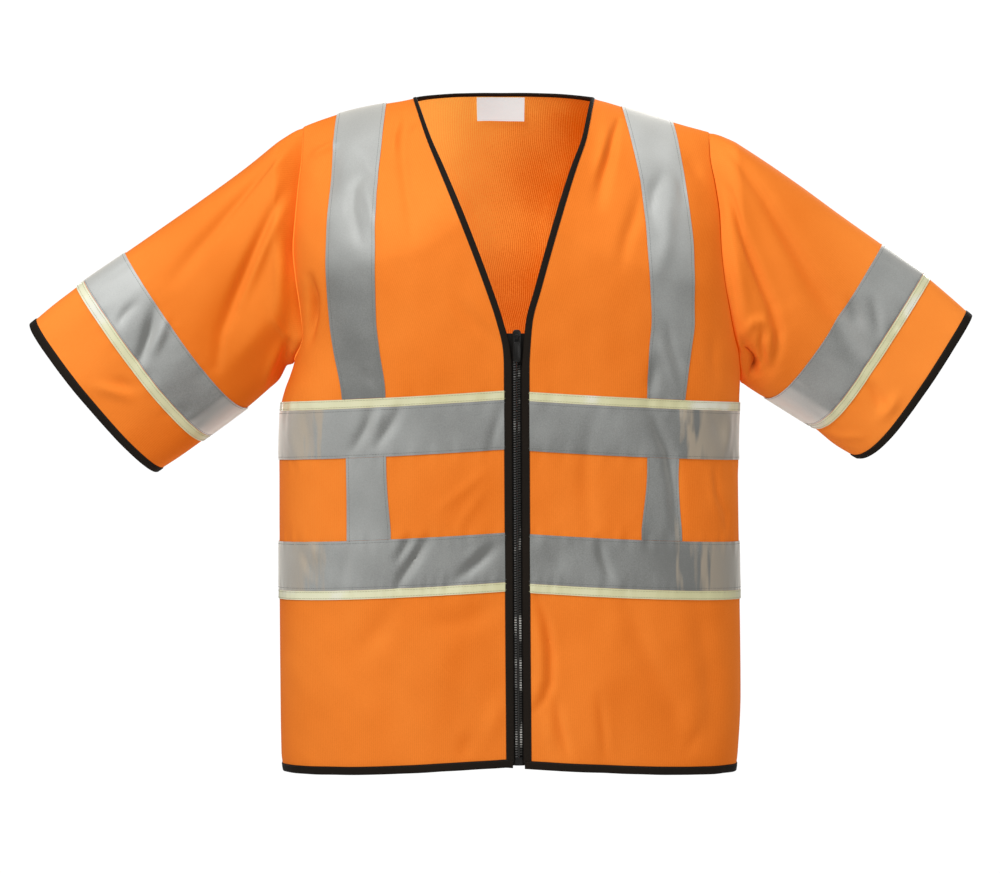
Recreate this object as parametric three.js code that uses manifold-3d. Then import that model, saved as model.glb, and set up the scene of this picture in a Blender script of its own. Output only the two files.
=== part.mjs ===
// Short-sleeved safety vest with a front zip, filled out as when it is worn, with nobody in it.
//
// Units are millimetres. +Z is up, the front faces -Y and the wearer's left is +X. The origin is
// midway between the two side-neck points, level with them, where the wearer's shoulders carry it.
//
// The torso is a form that tables of sections give: at each height it is a superellipse with its own
// half widths and depths, and a rounded shoulder line closes it at the top. A panel is a grid of
// points on that form. The grid's lines run along the edges of the tapes and bindings, so each of
// these is a patch of its panel's own points, moved out. A sleeve is a stack of rings.

import * as THREE from "three";
import { mergeVertices } from "three/addons/utils/BufferGeometryUtils.js";
import Module from "manifold-3d";

// ---------------------------------------------------------------- driving dimensions

const CLOTH = 1; // wall of a cloth panel
const TAPE = 1; // wall of a tape, a strip or the label
const BINDING = 1; // wall of the binding
const GAP = 0.3; // between two pieces
const SEAM = GAP / 2; // from a seam to the edge of the panel on either side of it

const HEM_Z = -698; // fold of the hem binding at the side seams
const LOW_BAND_Z = -510.5; // bottom of the lower reflective band at the side seams
const HIGH_BAND_Z = -376.5; // bottom of the upper one
const BAND_WIDTH = 50;
const GLOW_WIDTH = 9.5; // strips that glow in the dark, below the lower band and above the upper one
const HEM_BINDING_WIDTH = 8.6;
const UNDERARM_Z = { right: -275.5, left: -294 };

const ARCH = { front: 11, back: 4 }; // rise of a level line from the side seams to the middle
const ARCH_POWER = 1.5;
const SECTION_POWER = 2.7; // superellipse exponent of the torso's sections
const SHOULDER_POWER = 1.5; // roundness of the shoulder, front to back
const SHOULDER_DROP = { front: 170, back: 150 }; // height over which it curves to the shoulder line

const NAPE_RISE = 10; // the middle of the back neck is this much above the origin
const NAPE_POWER = 2.4;

const RIGHT = { name: "right", sign: -1 }; // the wearer's right
const LEFT = { name: "left", sign: 1 };
const SIDES = [RIGHT, LEFT];

// Sections of the torso: right and left are half widths, front and back are depths.
const SECTIONS = [
  { z: -698, right: 230, left: 238, front: 101, back: 97 },
  { z: -679, right: 233, left: 240.5, front: 103, back: 99 },
  { z: -617, right: 234, left: 243.5, front: 104, back: 99 },
  { z: -461, right: 235, left: 241.5, front: 106, back: 99 },
  { z: -367, right: 235, left: 240.5, front: 111, back: 103 },
  { z: -320, right: 232.9, left: 241.5, front: 115, back: 106 },
  { z: -305, right: 229.5, left: 242.3, front: 116.5, back: 107 },
  { z: -289, right: 223.6, left: 243, front: 118, back: 108 },
  { z: -275, right: 219.4, left: 243.2, front: 119, back: 109 },
  { z: -250, right: 216, left: 241, front: 121, back: 111 },
  { z: -220, right: 219, left: 238.5, front: 123, back: 113 },
  { z: -190, right: 224, left: 235.8, front: 124, back: 114 },
  { z: -140, right: 227, left: 232, front: 123, back: 116 },
  { z: -80, right: 225, left: 227, front: 118, back: 113 },
  { z: 60, right: 224, left: 222, front: 110, back: 106 },
];

// The top of the shoulders: out is the distance from the middle. Inside the neck it is a guide.
const SHOULDER_LINE = [
  { out: -30, right: 36, left: 36 },
  { out: 0, right: 42, left: 42 },
  { out: 30, right: 36, left: 36 },
  { out: 60, right: 19, left: 19 },
  { out: 90, right: 0.5, left: -0.5 },
  { out: 105, right: -3.2, left: -5 },
  { out: 136, right: -8.4, left: -14.5 },
  { out: 167, right: -15.6, left: -24 },
  { out: 199, right: -26, left: -33 },
  { out: 214, right: -32.3, left: -37 },
  { out: 230, right: -41.6, left: -42 },
  { out: 260, right: -60, left: -56 },
];

// The closed zip hangs a little to the wearer's left of the middle.
const ZIP_LINE = [
  { z: -700, x: 13 },
  { z: -480, x: 11.5 },
  { z: -249, x: 10.6 },
  { z: 20, x: 10.6 },
];

// The bound front edge: right and left are from the zip line to the fold of each side's binding,
// and wide is how wide the binding looks from in front.
const FRONT_EDGE = [
  { z: -700, right: 4.6, left: 4.6, wide: 8.2 },
  { z: -285, right: 5, left: 4.9, wide: 8 },
  { z: -266, right: 6.4, left: 6.3, wide: 7.4 },
  { z: -236, right: 13.8, left: 9.3, wide: 7 },
  { z: -206, right: 23.8, left: 17.4, wide: 7 },
  { z: -144, right: 47.1, left: 34.8, wide: 7 },
  { z: -81, right: 72.9, left: 54.6, wide: 6.2 },
  { z: -49, right: 86.6, left: 66.4, wide: 5 },
  { z: -15, right: 98.5, left: 74.2, wide: 4.4 },
  { z: 3, right: 104.5, left: 78.5, wide: 4 },
];

// The armhole seam as it shows from in front: distances from the middle.
const ARMHOLE = [
  { z: -300, right: 222, left: 243.4 },
  { z: -266, right: 214, left: 240 },
  { z: -250, right: 209, left: 235.4 },
  { z: -222, right: 211.5, left: 229.6 },
  { z: -190, right: 216, left: 224 },
  { z: -160, right: 218.8, left: 221 },
  { z: -125, right: 216.4, left: 219.8 },
  { z: -94, right: 214, left: 216 },
  { z: -60, right: 211, left: 211 },
  { z: -10, right: 210.5, left: 211 },
];

// Edges of the tape that runs up the front, over the shoulder and down the back.
const SHOULDER_TAPE = [
  { z: -448, rightIn: 116.7, rightOut: 161.2, leftIn: 136.7, leftOut: 178.2 },
  { z: -387, rightIn: 121, rightOut: 162, leftIn: 142.5, leftOut: 175.8 },
  { z: -311, rightIn: 121.6, rightOut: 166.2, leftIn: 142.6, leftOut: 181.1 },
  { z: -266, rightIn: 127.6, rightOut: 175.1, leftIn: 144, leftOut: 187 },
  { z: -235, rightIn: 131, rightOut: 179.6, leftIn: 146.5, leftOut: 191 },
  { z: -174, rightIn: 132, rightOut: 182, leftIn: 143.5, leftOut: 190.1 },
  { z: -113, rightIn: 131.6, rightOut: 180.5, leftIn: 139.1, leftOut: 185.9 },
  { z: -49, rightIn: 127.2, rightOut: 177.5, leftIn: 128.2, leftOut: 177.4 },
  { z: -5, rightIn: 124, rightOut: 174.5, leftIn: 119, leftOut: 168.5 },
];

// Rings of the sleeves, from the armhole out. Top and low are the ends of the ring seen from in
// front, deep is its half depth and back is how far its middle lies behind the shoulders. Sag is how
// far its front and back reach past a straight line, and low moves that towards the underarm.
const SLEEVE_RINGS = {
  right: [
    { topX: 240, topZ: -49, lowX: 229, lowZ: -280, deep: 58, back: 1, sag: 2, low: 1.2 },
    { topX: 270, topZ: -73, lowX: 236, lowZ: -293, deep: 57, back: 3, sag: 5, low: 1.4 },
    { topX: 310, topZ: -102, lowX: 247, lowZ: -303, deep: 54, back: 5, sag: 8, low: 1.6 },
    { topX: 352, topZ: -131, lowX: 258, lowZ: -312.5, deep: 51, back: 7, sag: 10, low: 1.7 },
    { topX: 396.2, topZ: -161.3, lowX: 269, lowZ: -321.5, deep: 48, back: 9, sag: 10.5, low: 1.7 },
    { topX: 439, topZ: -190.3, lowX: 307.6, lowZ: -350, deep: 44, back: 11, sag: 9, low: 1.6 },
    { topX: 447, topZ: -196.5, lowX: 316, lowZ: -356, deep: 43, back: 11.5, sag: 9, low: 1.5 },
    { topX: 471, topZ: -214.5, lowX: 340, lowZ: -373, deep: 41, back: 13, sag: 8.5, low: 1.3 },
    { topX: 496.4, topZ: -235.7, lowX: 365, lowZ: -389.1, deep: 40, back: 14, sag: 8, low: 1.1 },
  ],
  left: [
    { topX: 240, topZ: -48, lowX: 249, lowZ: -299, deep: 58, back: 1, sag: 2, low: 1.2 },
    { topX: 266, topZ: -64.5, lowX: 254, lowZ: -302.5, deep: 57, back: 3, sag: 6, low: 1.5 },
    { topX: 305, topZ: -91, lowX: 258, lowZ: -305, deep: 54, back: 5, sag: 10, low: 1.8 },
    { topX: 347.4, topZ: -121.7, lowX: 263, lowZ: -308, deep: 51, back: 7, sag: 12, low: 1.9 },
    { topX: 391.1, topZ: -152.4, lowX: 269.1, lowZ: -311, deep: 48, back: 9, sag: 12.5, low: 1.9 },
    { topX: 434, topZ: -182.6, lowX: 312, lowZ: -337.5, deep: 44, back: 11, sag: 13, low: 2.1 },
    { topX: 441.5, topZ: -188.5, lowX: 320, lowZ: -342, deep: 43, back: 11.5, sag: 13, low: 2.1 },
    { topX: 463.6, topZ: -207, lowX: 343, lowZ: -360.5, deep: 41, back: 13, sag: 13, low: 2 },
    { topX: 486.1, topZ: -227, lowX: 366.1, lowZ: -374, deep: 40, back: 14, sag: 12.5, low: 1.8 },
  ],
};
const TAPE_RINGS = [4, 5]; // the sleeve's tape lies between these rings
const GLOW_RINGS = [5, 6];

// The largest folds, as soft ridges (positive) and troughs between two ends seen from in front.
const FOLDS = [
  { on: "sleeve", x1: -232, z1: -55, x2: -285, z2: -130, wide: 16, tall: -4 },
  { on: "sleeve", x1: -226, z1: -140, x2: -302, z2: -254, wide: 17, tall: -5 },
  { on: "sleeve", x1: -232, z1: -222, x2: -290, z2: -292, wide: 12, tall: 4 },
  { on: "sleeve", x1: 230, z1: -60, x2: 286, z2: -205, wide: 16, tall: -5 },
  { on: "sleeve", x1: 226, z1: -105, x2: 288, z2: -228, wide: 15, tall: -4 },
  { on: "sleeve", x1: 246, z1: -232, x2: 282, z2: -284, wide: 11, tall: 5 },
  { on: "front", x1: -60, z1: -540, x2: -95, z2: -690, wide: 26, tall: 3 },
  { on: "front", x1: 110, z1: -530, x2: 85, z2: -690, wide: 26, tall: 3.5 },
  { on: "front", x1: 175, z1: -560, x2: 165, z2: -690, wide: 22, tall: -3 },
  { on: "back", x1: -90, z1: -120, x2: -70, z2: -300, wide: 30, tall: -4 },
  { on: "back", x1: 95, z1: -130, x2: 60, z2: -320, wide: 30, tall: -3.5 },
  { on: "back", x1: -100, z1: -530, x2: -120, z2: -690, wide: 28, tall: 4 },
  { on: "back", x1: 70, z1: -540, x2: 90, z2: -690, wide: 28, tall: 4 },
];

// Grid lines between the named ones, as fractions of the way.
const RISE = [0.06, 0.14, 0.27, 0.43, 0.59, 0.74, 0.87, 0.95, 0.983, 1]; // underarm to shoulder
const FRONT_FILL = [1 / 3, 2 / 3]; // binding to shoulder tape
const SIDE_FILL = [0.25, 0.48, 0.68, 0.86, 1]; // shoulder tape to side seam or armhole
const NAPE_FILL = [-0.8, -0.4, 0, 0.4, 0.8]; // across, between the side-neck points
const NAPE_END = 0.12; // how much of a column the back's neck binding stops short

const RING_SQUARENESS = 0.8; // 1 is an ellipse
const MITRE_LIMIT = 0.6; // a slanted edge is at most 1 / 0.6 of the wall across

// Zip: a moulded chain on two tapes, sewn in behind the bound edges. Behind is a distance back from
// the outer face of the fronts.
const ZIP_TOP_Z = -249;
const ZIP_END_Z = -685;
const ZIP_STEPS = 9;
const CHAIN = { halfWidth: 3.4, thickness: 2.6, behind: 1.8 };
const ZIP_TAPE = { edge: 15, behind: CLOTH + BINDING + 2 * GAP };
const BOX = { height: 8.5, thickness: 3.8 };
const SLIDER = { width: 9, length: 13, crown: 3.4, plate: 1.2 };
const UNDER_SLIDER = SLIDER.length + 2; // the chain is straight under the slider
const LUG = { width: 2.4, wall: 0.8, halfLength: 2.2, reach: 3.4, foot: 0.4 };
const PULL = { width: 7.6, length: 26, thickness: 1.2, bar: 1.2, corner: 3 };
const PULL_WINDOW = { width: 3.2, length: 4.6 };
const PULL_AXIS = { drop: 3.2, reach: 1.3 }; // below the chain's top, and in front of the slider

// The label: x of its edges, how far down its last cell it ends and how it hangs clear of the back.
const LABEL = { right: -33.5, left: 20, bottom: 0.45, hang: 0.8 };

const COLOURS = {
  cloth: { color: 0xf37e26, roughness: 0.85, metalness: 0 },
  tape: { color: 0xa3a6a4, roughness: 0.45, metalness: 0 },
  glow: { color: 0xe4e2b4, roughness: 0.5, metalness: 0 },
  binding: { color: 0x28231c, roughness: 0.8, metalness: 0 },
  zip: { color: 0x1c1915, roughness: 0.4, metalness: 0 },
  label: { color: 0xf2f0ee, roughness: 0.7, metalness: 0 },
};

// ---------------------------------------------------------------- reading the tables

const mix = (a, b, t) => a + (b - a) * t;
const clamp = (value, low, high) => Math.min(high, Math.max(low, value));

// Slope of a smooth curve that doesn't overshoot, where two straight stretches meet.
function smoothSlope(before, after) {
  return before * after <= 0 ? 0 : (2 * before * after) / (before + after);
}

// The value of one column at a place between the rows of a table, whose keys rise.
function lookUp(table, key, place, column) {
  const last = table.length - 1;
  const at = clamp(place, table[0][key], table[last][key]);
  let i = 0;
  while (i < last - 1 && at > table[i + 1][key]) i += 1;
  const slope = (k) => (table[k + 1][column] - table[k][column]) / (table[k + 1][key] - table[k][key]);
  const span = table[i + 1][key] - table[i][key];
  const here = slope(i);
  const start = i > 0 ? smoothSlope(slope(i - 1), here) : here;
  const end = i < last - 1 ? smoothSlope(here, slope(i + 1)) : here;
  const t = (at - table[i][key]) / span;
  const bend = start * (1 - t) * (1 - t) * t + end * (t - 1) * t * t;
  return table[i][column] + (table[i + 1][column] - table[i][column]) * t * t * (3 - 2 * t) + bend * span;
}

const sideOf = (x) => (x < 0 ? RIGHT : LEFT);
const halfWidth = (z, side) => lookUp(SECTIONS, "z", z, side.name);
const shoulderHeight = (x) => lookUp(SHOULDER_LINE, "out", Math.abs(x), sideOf(x).name);
const zipX = (z) => lookUp(ZIP_LINE, "z", z, "x");

// ---------------------------------------------------------------- the torso's form

// How far a fold lifts the cloth at a place seen from in front.
function foldLift(part, x, z) {
  let lift = 0;
  for (const fold of FOLDS.filter((row) => row.on === part)) {
    const dx = fold.x2 - fold.x1;
    const dz = fold.z2 - fold.z1;
    const along = clamp(((x - fold.x1) * dx + (z - fold.z1) * dz) / (dx * dx + dz * dz), 0, 1);
    const away = Math.hypot(x - fold.x1 - along * dx, z - fold.z1 - along * dz) / fold.wide;
    lift += fold.tall * Math.sin(Math.PI * mix(0.12, 0.88, along)) * Math.exp(-away * away);
  }
  return lift;
}

// Distance of the form's front or back from the plane of the side seams.
function torsoDepth(face, x, z) {
  const across = Math.abs(x) / halfWidth(z, sideOf(x));
  const round = Math.max(0, 1 - across ** SECTION_POWER) ** (1 / SECTION_POWER);
  const drop = SHOULDER_DROP[face];
  const rise = clamp((z - shoulderHeight(x) + drop) / drop, 0, 1);
  const close = (1 - rise ** SHOULDER_POWER) ** (1 / SHOULDER_POWER);
  return round * close * (lookUp(SECTIONS, "z", z, face) + foldLift(face, x, z));
}

// Height of a level line, which rises towards the middle of the front or back.
function levelHeight(face, level, x) {
  const across = clamp(Math.abs(x) / halfWidth(level, sideOf(x)), 0, 1);
  const arch = face === "front" ? (1 - across) ** ARCH_POWER : 1 - across * across;
  return level + ARCH[face] * arch;
}

// The angle round a superellipse at which it is this far out, as a fraction of its half width.
const angleAt = (fraction) => Math.acos(clamp(fraction, 0, 1) ** (SECTION_POWER / 2));
const fractionAt = (angle) => Math.max(0, Math.cos(angle)) ** (2 / SECTION_POWER);

const tapeEdge = (z, side, edge) => lookUp(SHOULDER_TAPE, "z", z, side.name + edge);
const foldX = (z, side) => zipX(z) + side.sign * lookUp(FRONT_EDGE, "z", z, side.name);
const INSET = BINDING + GAP; // from the fold of a binding to the cut edge inside it

// Columns of a grid, each a place across the form at a given height.
const cutEdge = (side) => (z) => foldX(z, side) + side.sign * INSET;
const bindingEdge = (side) => (z) => foldX(z, side) + side.sign * lookUp(FRONT_EDGE, "z", z, "wide");
const tapeColumn = (side, fraction) => (z) =>
  side.sign * mix(tapeEdge(z, side, "In"), tapeEdge(z, side, "Out"), fraction);
const between = (first, second, fraction) => (z) => mix(first(z), second(z), fraction);
const sideColumn = (side, fraction) => (z) => {
  const half = halfWidth(z, side);
  const start = angleAt(tapeEdge(z, side, "Out") / half);
  const edge = z > UNDERARM_Z[side.name] ? angleAt(lookUp(ARMHOLE, "z", z, side.name) / half) : 0;
  return side.sign * half * fractionAt(mix(start, edge, fraction));
};
const neckPointX = (side) => foldX(0, side) + side.sign * INSET;

// ---------------------------------------------------------------- grids of points

// Normals of a grid of points, each the mean of the cells round it.
function gridNormals(points, closed) {
  const rows = points.length;
  const columns = points[0].length;
  const normals = points.map((row) => row.map(() => new THREE.Vector3()));
  const lastColumn = closed ? columns : columns - 1;
  for (let r = 0; r < rows - 1; r += 1) {
    for (let c = 0; c < lastColumn; c += 1) {
      const next = (c + 1) % columns;
      const a = new THREE.Vector3().subVectors(points[r + 1][next], points[r][c]);
      const b = new THREE.Vector3().subVectors(points[r + 1][c], points[r][next]);
      const normal = a.cross(b).normalize();
      for (const [i, j] of [[r, c], [r, next], [r + 1, c], [r + 1, next]]) normals[i][j].add(normal);
    }
  }
  for (const row of normals) row.forEach((normal) => normal.normalize());
  return normals;
}

// Turns all normals round where they point into the form instead of out of it.
function faceOutwards(grid, middle) {
  let sum = 0;
  grid.points.forEach((row, r) => row.forEach((point, c) => {
    sum += new THREE.Vector3().subVectors(point, middle).dot(grid.normals[r][c]);
  }));
  if (sum < 0) grid.normals.forEach((row) => row.forEach((normal) => normal.negate()));
  return grid;
}

// Normals on a seam in the plane of the side and shoulder seams lie in that plane.
function flattenSeamNormals(grid) {
  grid.points.forEach((row, r) => row.forEach((point, c) => {
    if (Math.abs(point.y) < 2 * SEAM) grid.normals[r][c].setY(0).normalize();
  }));
  return grid;
}

// A point of a grid at fractions of its rows and columns, moved out along the normals.
function lifted(grid, row, column, lift) {
  const rows = grid.points.length;
  const columns = grid.points[0].length;
  const r = clamp(Math.floor(row), 0, rows - 2);
  const c = grid.closed ? Math.floor(column) : clamp(Math.floor(column), 0, columns - 2);
  const moved = (i, j) =>
    grid.points[i][j % columns].clone().addScaledVector(grid.normals[i][j % columns], lift);
  const low = moved(r, c).lerp(moved(r, c + 1), column - c);
  const high = moved(r + 1, c).lerp(moved(r + 1, c + 1), column - c);
  return low.lerp(high, row - r);
}

// Rows of the torso's grids: level lines up to the underarm, then a rise to the shoulder line.
function torsoRows(side) {
  const levels = [
    HEM_Z + INSET,
    HEM_Z + HEM_BINDING_WIDTH,
    mix(HEM_Z, LOW_BAND_Z, 0.35),
    mix(HEM_Z, LOW_BAND_Z, 0.68),
    LOW_BAND_Z - GLOW_WIDTH,
    LOW_BAND_Z,
    LOW_BAND_Z + BAND_WIDTH,
    mix(LOW_BAND_Z + BAND_WIDTH, HIGH_BAND_Z, 0.5),
    HIGH_BAND_Z,
    HIGH_BAND_Z + BAND_WIDTH,
    HIGH_BAND_Z + BAND_WIDTH + GLOW_WIDTH,
    UNDERARM_Z[side.name],
  ];
  return [...levels.map((level) => ({ level })), ...RISE.map((rise) => ({ rise }))];
}
const UNDERARM_ROW = 11;
const ROW = {
  hem: 0,
  hemBinding: 1,
  lowGlow: 4,
  lowBand: 5,
  lowBandTop: 6,
  highBand: 8,
  highBandTop: 9,
  highGlowTop: 10,
  underarm: UNDERARM_ROW,
  shoulder: UNDERARM_ROW + RISE.length,
};

// Top edge of the back: the neckline between the side-neck points, then the shoulder line.
function backTop(x) {
  const point = neckPointX(sideOf(x));
  const away = x / point;
  if (away >= 1) return shoulderHeight(x);
  return mix(NAPE_RISE - INSET, shoulderHeight(point), away ** NAPE_POWER);
}

function gridPoint(face, side, row, column) {
  const top = face === "front" ? shoulderHeight : backTop;
  let x = side.sign * halfWidth(0, side);
  let z = 0;
  for (let i = 0; i < 12; i += 1) {
    if (row.level !== undefined) z = levelHeight(face, row.level, x);
    else z = mix(levelHeight(face, UNDERARM_Z[sideOf(x).name], x), top(x), row.rise);
    x = column(z);
  }
  const forward = face === "front" ? -1 : 1;
  return new THREE.Vector3(x, forward * Math.max(SEAM, torsoDepth(face, x, z)), z);
}

function makeGrid(points, closed, middle) {
  const grid = { points, closed, normals: gridNormals(points, closed) };
  return faceOutwards(grid, middle);
}

const TORSO_MIDDLE = new THREE.Vector3(0, 0, -350);

function frontGrid(side) {
  const columns = [
    cutEdge(side),
    bindingEdge(side),
    ...FRONT_FILL.map((fraction) => between(bindingEdge(side), tapeColumn(side, 0), fraction)),
    ...[0, 1].map((fraction) => tapeColumn(side, fraction)),
    ...SIDE_FILL.map((fraction) => sideColumn(side, fraction)),
  ];
  const points = torsoRows(side).map((row) => columns.map((column) => gridPoint("front", side, row, column)));
  return flattenSeamNormals(makeGrid(points, false, TORSO_MIDDLE));
}
const TAPE_COLUMN = 2 + FRONT_FILL.length;
const FRONT_COLUMN = {
  edge: 0,
  binding: 1,
  tapeIn: TAPE_COLUMN,
  tapeOut: TAPE_COLUMN + 1,
  side: TAPE_COLUMN + 1 + SIDE_FILL.length,
};

function backGrid() {
  const half = (side) => [
    ...[...SIDE_FILL].reverse().map((fraction) => ({ side, column: sideColumn(side, fraction) })),
    ...[1, 0].map((fraction) => ({ side, column: tapeColumn(side, fraction) })),
    { side, column: () => neckPointX(side) },
  ];
  const nape = NAPE_FILL.map((place) => {
    const side = sideOf(place);
    return { side, column: () => Math.abs(place) * neckPointX(side) };
  });
  const columns = [...half(RIGHT), ...nape, ...half(LEFT).reverse()];
  const rows = { right: torsoRows(RIGHT), left: torsoRows(LEFT) };
  const points = rows.right.map((_, r) => columns.map(({ side, column }) =>
    gridPoint("back", side, rows[side.name][r], column)));
  const grid = flattenSeamNormals(makeGrid(points, false, TORSO_MIDDLE));
  grid.turned = onRightOfBack;
  return grid;
}
const BACK_LAST = 2 * (SIDE_FILL.length + 3) + NAPE_FILL.length - 1;
const BACK_COLUMN = {
  right: { side: 0, tapeOut: SIDE_FILL.length, tapeIn: SIDE_FILL.length + 1, neck: SIDE_FILL.length + 2 },
};
BACK_COLUMN.left = {
  side: BACK_LAST,
  tapeOut: BACK_LAST - BACK_COLUMN.right.tapeOut,
  tapeIn: BACK_LAST - BACK_COLUMN.right.tapeIn,
  neck: BACK_LAST - BACK_COLUMN.right.neck,
};

// Diagonals of the cells rise outwards on both halves of the back, as they do on the fronts.
function onRightOfBack(row, column) {
  return column < BACK_LAST / 2;
}

// ---------------------------------------------------------------- sleeves

// The armhole as a loop of places on the panels, down the front from the shoulder and up the back.
// The two ends of the side and shoulder seams are on both panels.
function armholeLoop(front, back, side) {
  const onFront = (row) => ({ grid: front, row, column: FRONT_COLUMN.side });
  const onBack = (row) => ({ grid: back, row, column: BACK_COLUMN[side.name].side });
  const loop = [[onFront(ROW.shoulder), onBack(ROW.shoulder)]];
  for (let row = ROW.shoulder - 1; row > ROW.underarm; row -= 1) loop.push([onFront(row)]);
  loop.push([onFront(ROW.underarm), onBack(ROW.underarm)]);
  for (let row = ROW.underarm + 1; row < ROW.shoulder; row += 1) loop.push([onBack(row)]);
  return loop;
}

// Place of each point of the armhole round it, 0 at the shoulder and a half at the underarm.
function waysRound(points) {
  const half = points.length / 2;
  const ways = [0];
  points.forEach((point, i) => ways.push(ways[i] + point.distanceTo(points[(i + 1) % points.length])));
  const down = ways[half];
  const up = ways[points.length] - down;
  return points.map((_, i) => (i < half ? (0.5 * ways[i]) / down : 0.5 + (0.5 * (ways[i] - down)) / up));
}

function ringPoint(ring, side, way) {
  const top = new THREE.Vector3(side.sign * ring.topX, ring.back, ring.topZ);
  const low = new THREE.Vector3(side.sign * ring.lowX, ring.back, ring.lowZ);
  const down = new THREE.Vector3().subVectors(low, top);
  const along = new THREE.Vector3(side.sign * -down.z, 0, side.sign * down.x).normalize();
  const angle = 2 * Math.PI * way;
  const half = way < 0.5 ? 2 * way : 2 - 2 * way;
  const point = top.addScaledVector(down, (1 - Math.cos(angle)) / 2);
  point.y -= ring.deep * Math.sign(Math.sin(angle)) * Math.abs(Math.sin(angle)) ** RING_SQUARENESS;
  point.addScaledVector(along, ring.sag * Math.sin(Math.PI * half ** ring.low));
  const lift = foldLift("sleeve", point.x, point.z) * Math.sin(Math.PI * half);
  point.y -= lift * Math.sign(Math.sin(angle));
  return point;
}

function sleeveGrid(front, back, side) {
  const loop = armholeLoop(front, back, side);
  const seam = loop.map(([place, twin]) => {
    const point = place.grid.points[place.row][place.column].clone();
    return twin ? point.setY(0) : point;
  });
  const ways = waysRound(seam);
  const rings = SLEEVE_RINGS[side.name].map((ring) => ways.map((way) => ringPoint(ring, side, way)));
  const hem = rings[rings.length - 1];
  const beforeHem = rings[rings.length - 2];
  hem.forEach((point, i) => point.lerp(beforeHem[i], INSET / point.distanceTo(beforeHem[i])));
  const sleeve = makeGrid([seam, ...rings], true, new THREE.Vector3(side.sign * 290, 0, -200));
  mitreSeam(loop, sleeve);
  return sleeve;
}

// Both sides of the armhole seam take one slant, and the sleeve's edge moves off by the gap.
function mitreSeam(loop, sleeve) {
  loop.forEach((places, i) => {
    const { grid: panel, row: seamRow, column: seamColumn } = places[0];
    const shared = sleeve.normals[0][i].clone().add(panel.normals[seamRow][seamColumn]);
    const across = new THREE.Vector3().subVectors(sleeve.points[1][i], sleeve.points[0][i]);
    if (places.length > 1) [shared, across].forEach((direction) => direction.setY(0));
    shared.normalize();
    across.addScaledVector(shared, -across.dot(shared)).normalize();
    sleeve.points[0][i].addScaledVector(across, GAP);
    const slanted = shared.clone().divideScalar(Math.max(MITRE_LIMIT, shared.dot(sleeve.normals[0][i])));
    sleeve.normals[0][i].copy(slanted);
    for (const { grid, row, column } of places) grid.normals[row][column].copy(slanted);
  });
}

// ---------------------------------------------------------------- closed walls

// A closed solid between two grids of points of one size; a closed grid joins up along its rows.
// Cells are cut in two along one diagonal, or along the other one where they are turned.
function wall(inner, outer, closed, turned = () => false) {
  const rows = inner.length;
  const columns = inner[0].length;
  const layer = rows * columns;
  const at = (side, r, c) => side * layer + r * columns + (c % columns);
  const triangles = [];
  const quad = (a, b, c, d) => triangles.push(a, b, c, a, c, d);
  const lastColumn = closed ? columns : columns - 1;
  for (let r = 0; r < rows - 1; r += 1) {
    for (let c = 0; c < lastColumn; c += 1) {
      const cell = [[r, c], [r, c + 1], [r + 1, c + 1], [r + 1, c]];
      if (turned(r, c)) cell.push(cell.shift());
      quad(...cell.map(([i, j]) => at(1, i, j)));
      const [first, ...others] = cell;
      quad(...[first, ...others.reverse()].map(([i, j]) => at(0, i, j)));
    }
  }
  // The slanted edges at an armhole are cut in two from the lower inner corner to the upper outer
  // one on both sides of the seam, so that they don't cross.
  for (let c = 0; c < lastColumn; c += 1) {
    const edge = [at(0, 0, c), at(0, 0, c + 1), at(1, 0, c + 1), at(1, 0, c)];
    if (c < columns / 2) edge.push(edge.shift());
    quad(...edge);
    quad(at(1, rows - 1, c), at(1, rows - 1, c + 1), at(0, rows - 1, c + 1), at(0, rows - 1, c));
  }
  for (let r = 0; r < rows - 1 && !closed; r += 1) {
    quad(at(0, r, 0), at(1, r, 0), at(1, r + 1, 0), at(0, r + 1, 0));
    const end = columns - 1;
    quad(at(0, r, end), at(0, r + 1, end), at(1, r + 1, end), at(1, r, end));
  }
  return solid([...inner.flat(), ...outer.flat()], triangles);
}

// A closed solid swept through stations, each one outline of points in order round it. Turned says
// which of the quads between two stations are cut in two along the other diagonal.
function sweep(stations, closed, turned) {
  const round = stations[0].length;
  const triangles = [];
  const at = (s, k) => (s % stations.length) * round + (k % round);
  const lastStation = closed ? stations.length : stations.length - 1;
  for (let s = 0; s < lastStation; s += 1) {
    for (let k = 0; k < round; k += 1) {
      const quad = [at(s, k), at(s, k + 1), at(s + 1, k + 1), at(s + 1, k)];
      if (turned(s, k)) quad.push(quad.shift());
      const [a, b, c, d] = quad;
      triangles.push(a, b, c, a, c, d);
    }
  }
  if (!closed) {
    for (const [a, b, c] of CHANNEL_CAP) {
      triangles.push(at(0, c), at(0, b), at(0, a));
      const end = stations.length - 1;
      triangles.push(at(end, a), at(end, b), at(end, c));
    }
  }
  return solid(stations.flat(), triangles);
}

// The mesh of a list of points and triangles, turned so that its faces point out.
function solid(points, triangles) {
  let volume = 0;
  for (let i = 0; i < triangles.length; i += 3) {
    const [a, b, c] = triangles.slice(i, i + 3).map((k) => points[k]);
    volume += a.dot(new THREE.Vector3().crossVectors(b, c));
  }
  const geometry = new THREE.BufferGeometry();
  geometry.setAttribute("position", new THREE.Float32BufferAttribute(points.flatMap((p) => p.toArray()), 3));
  geometry.setIndex(volume > 0 ? triangles : triangles.toReversed());
  return geometry;
}

const vest = new THREE.Group();

function addPiece(name, geometry, finish, parent = vest) {
  const mesh = new THREE.Mesh(geometry, new THREE.MeshStandardMaterial(COLOURS[finish]));
  mesh.name = name;
  parent.add(mesh);
  return mesh;
}

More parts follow.
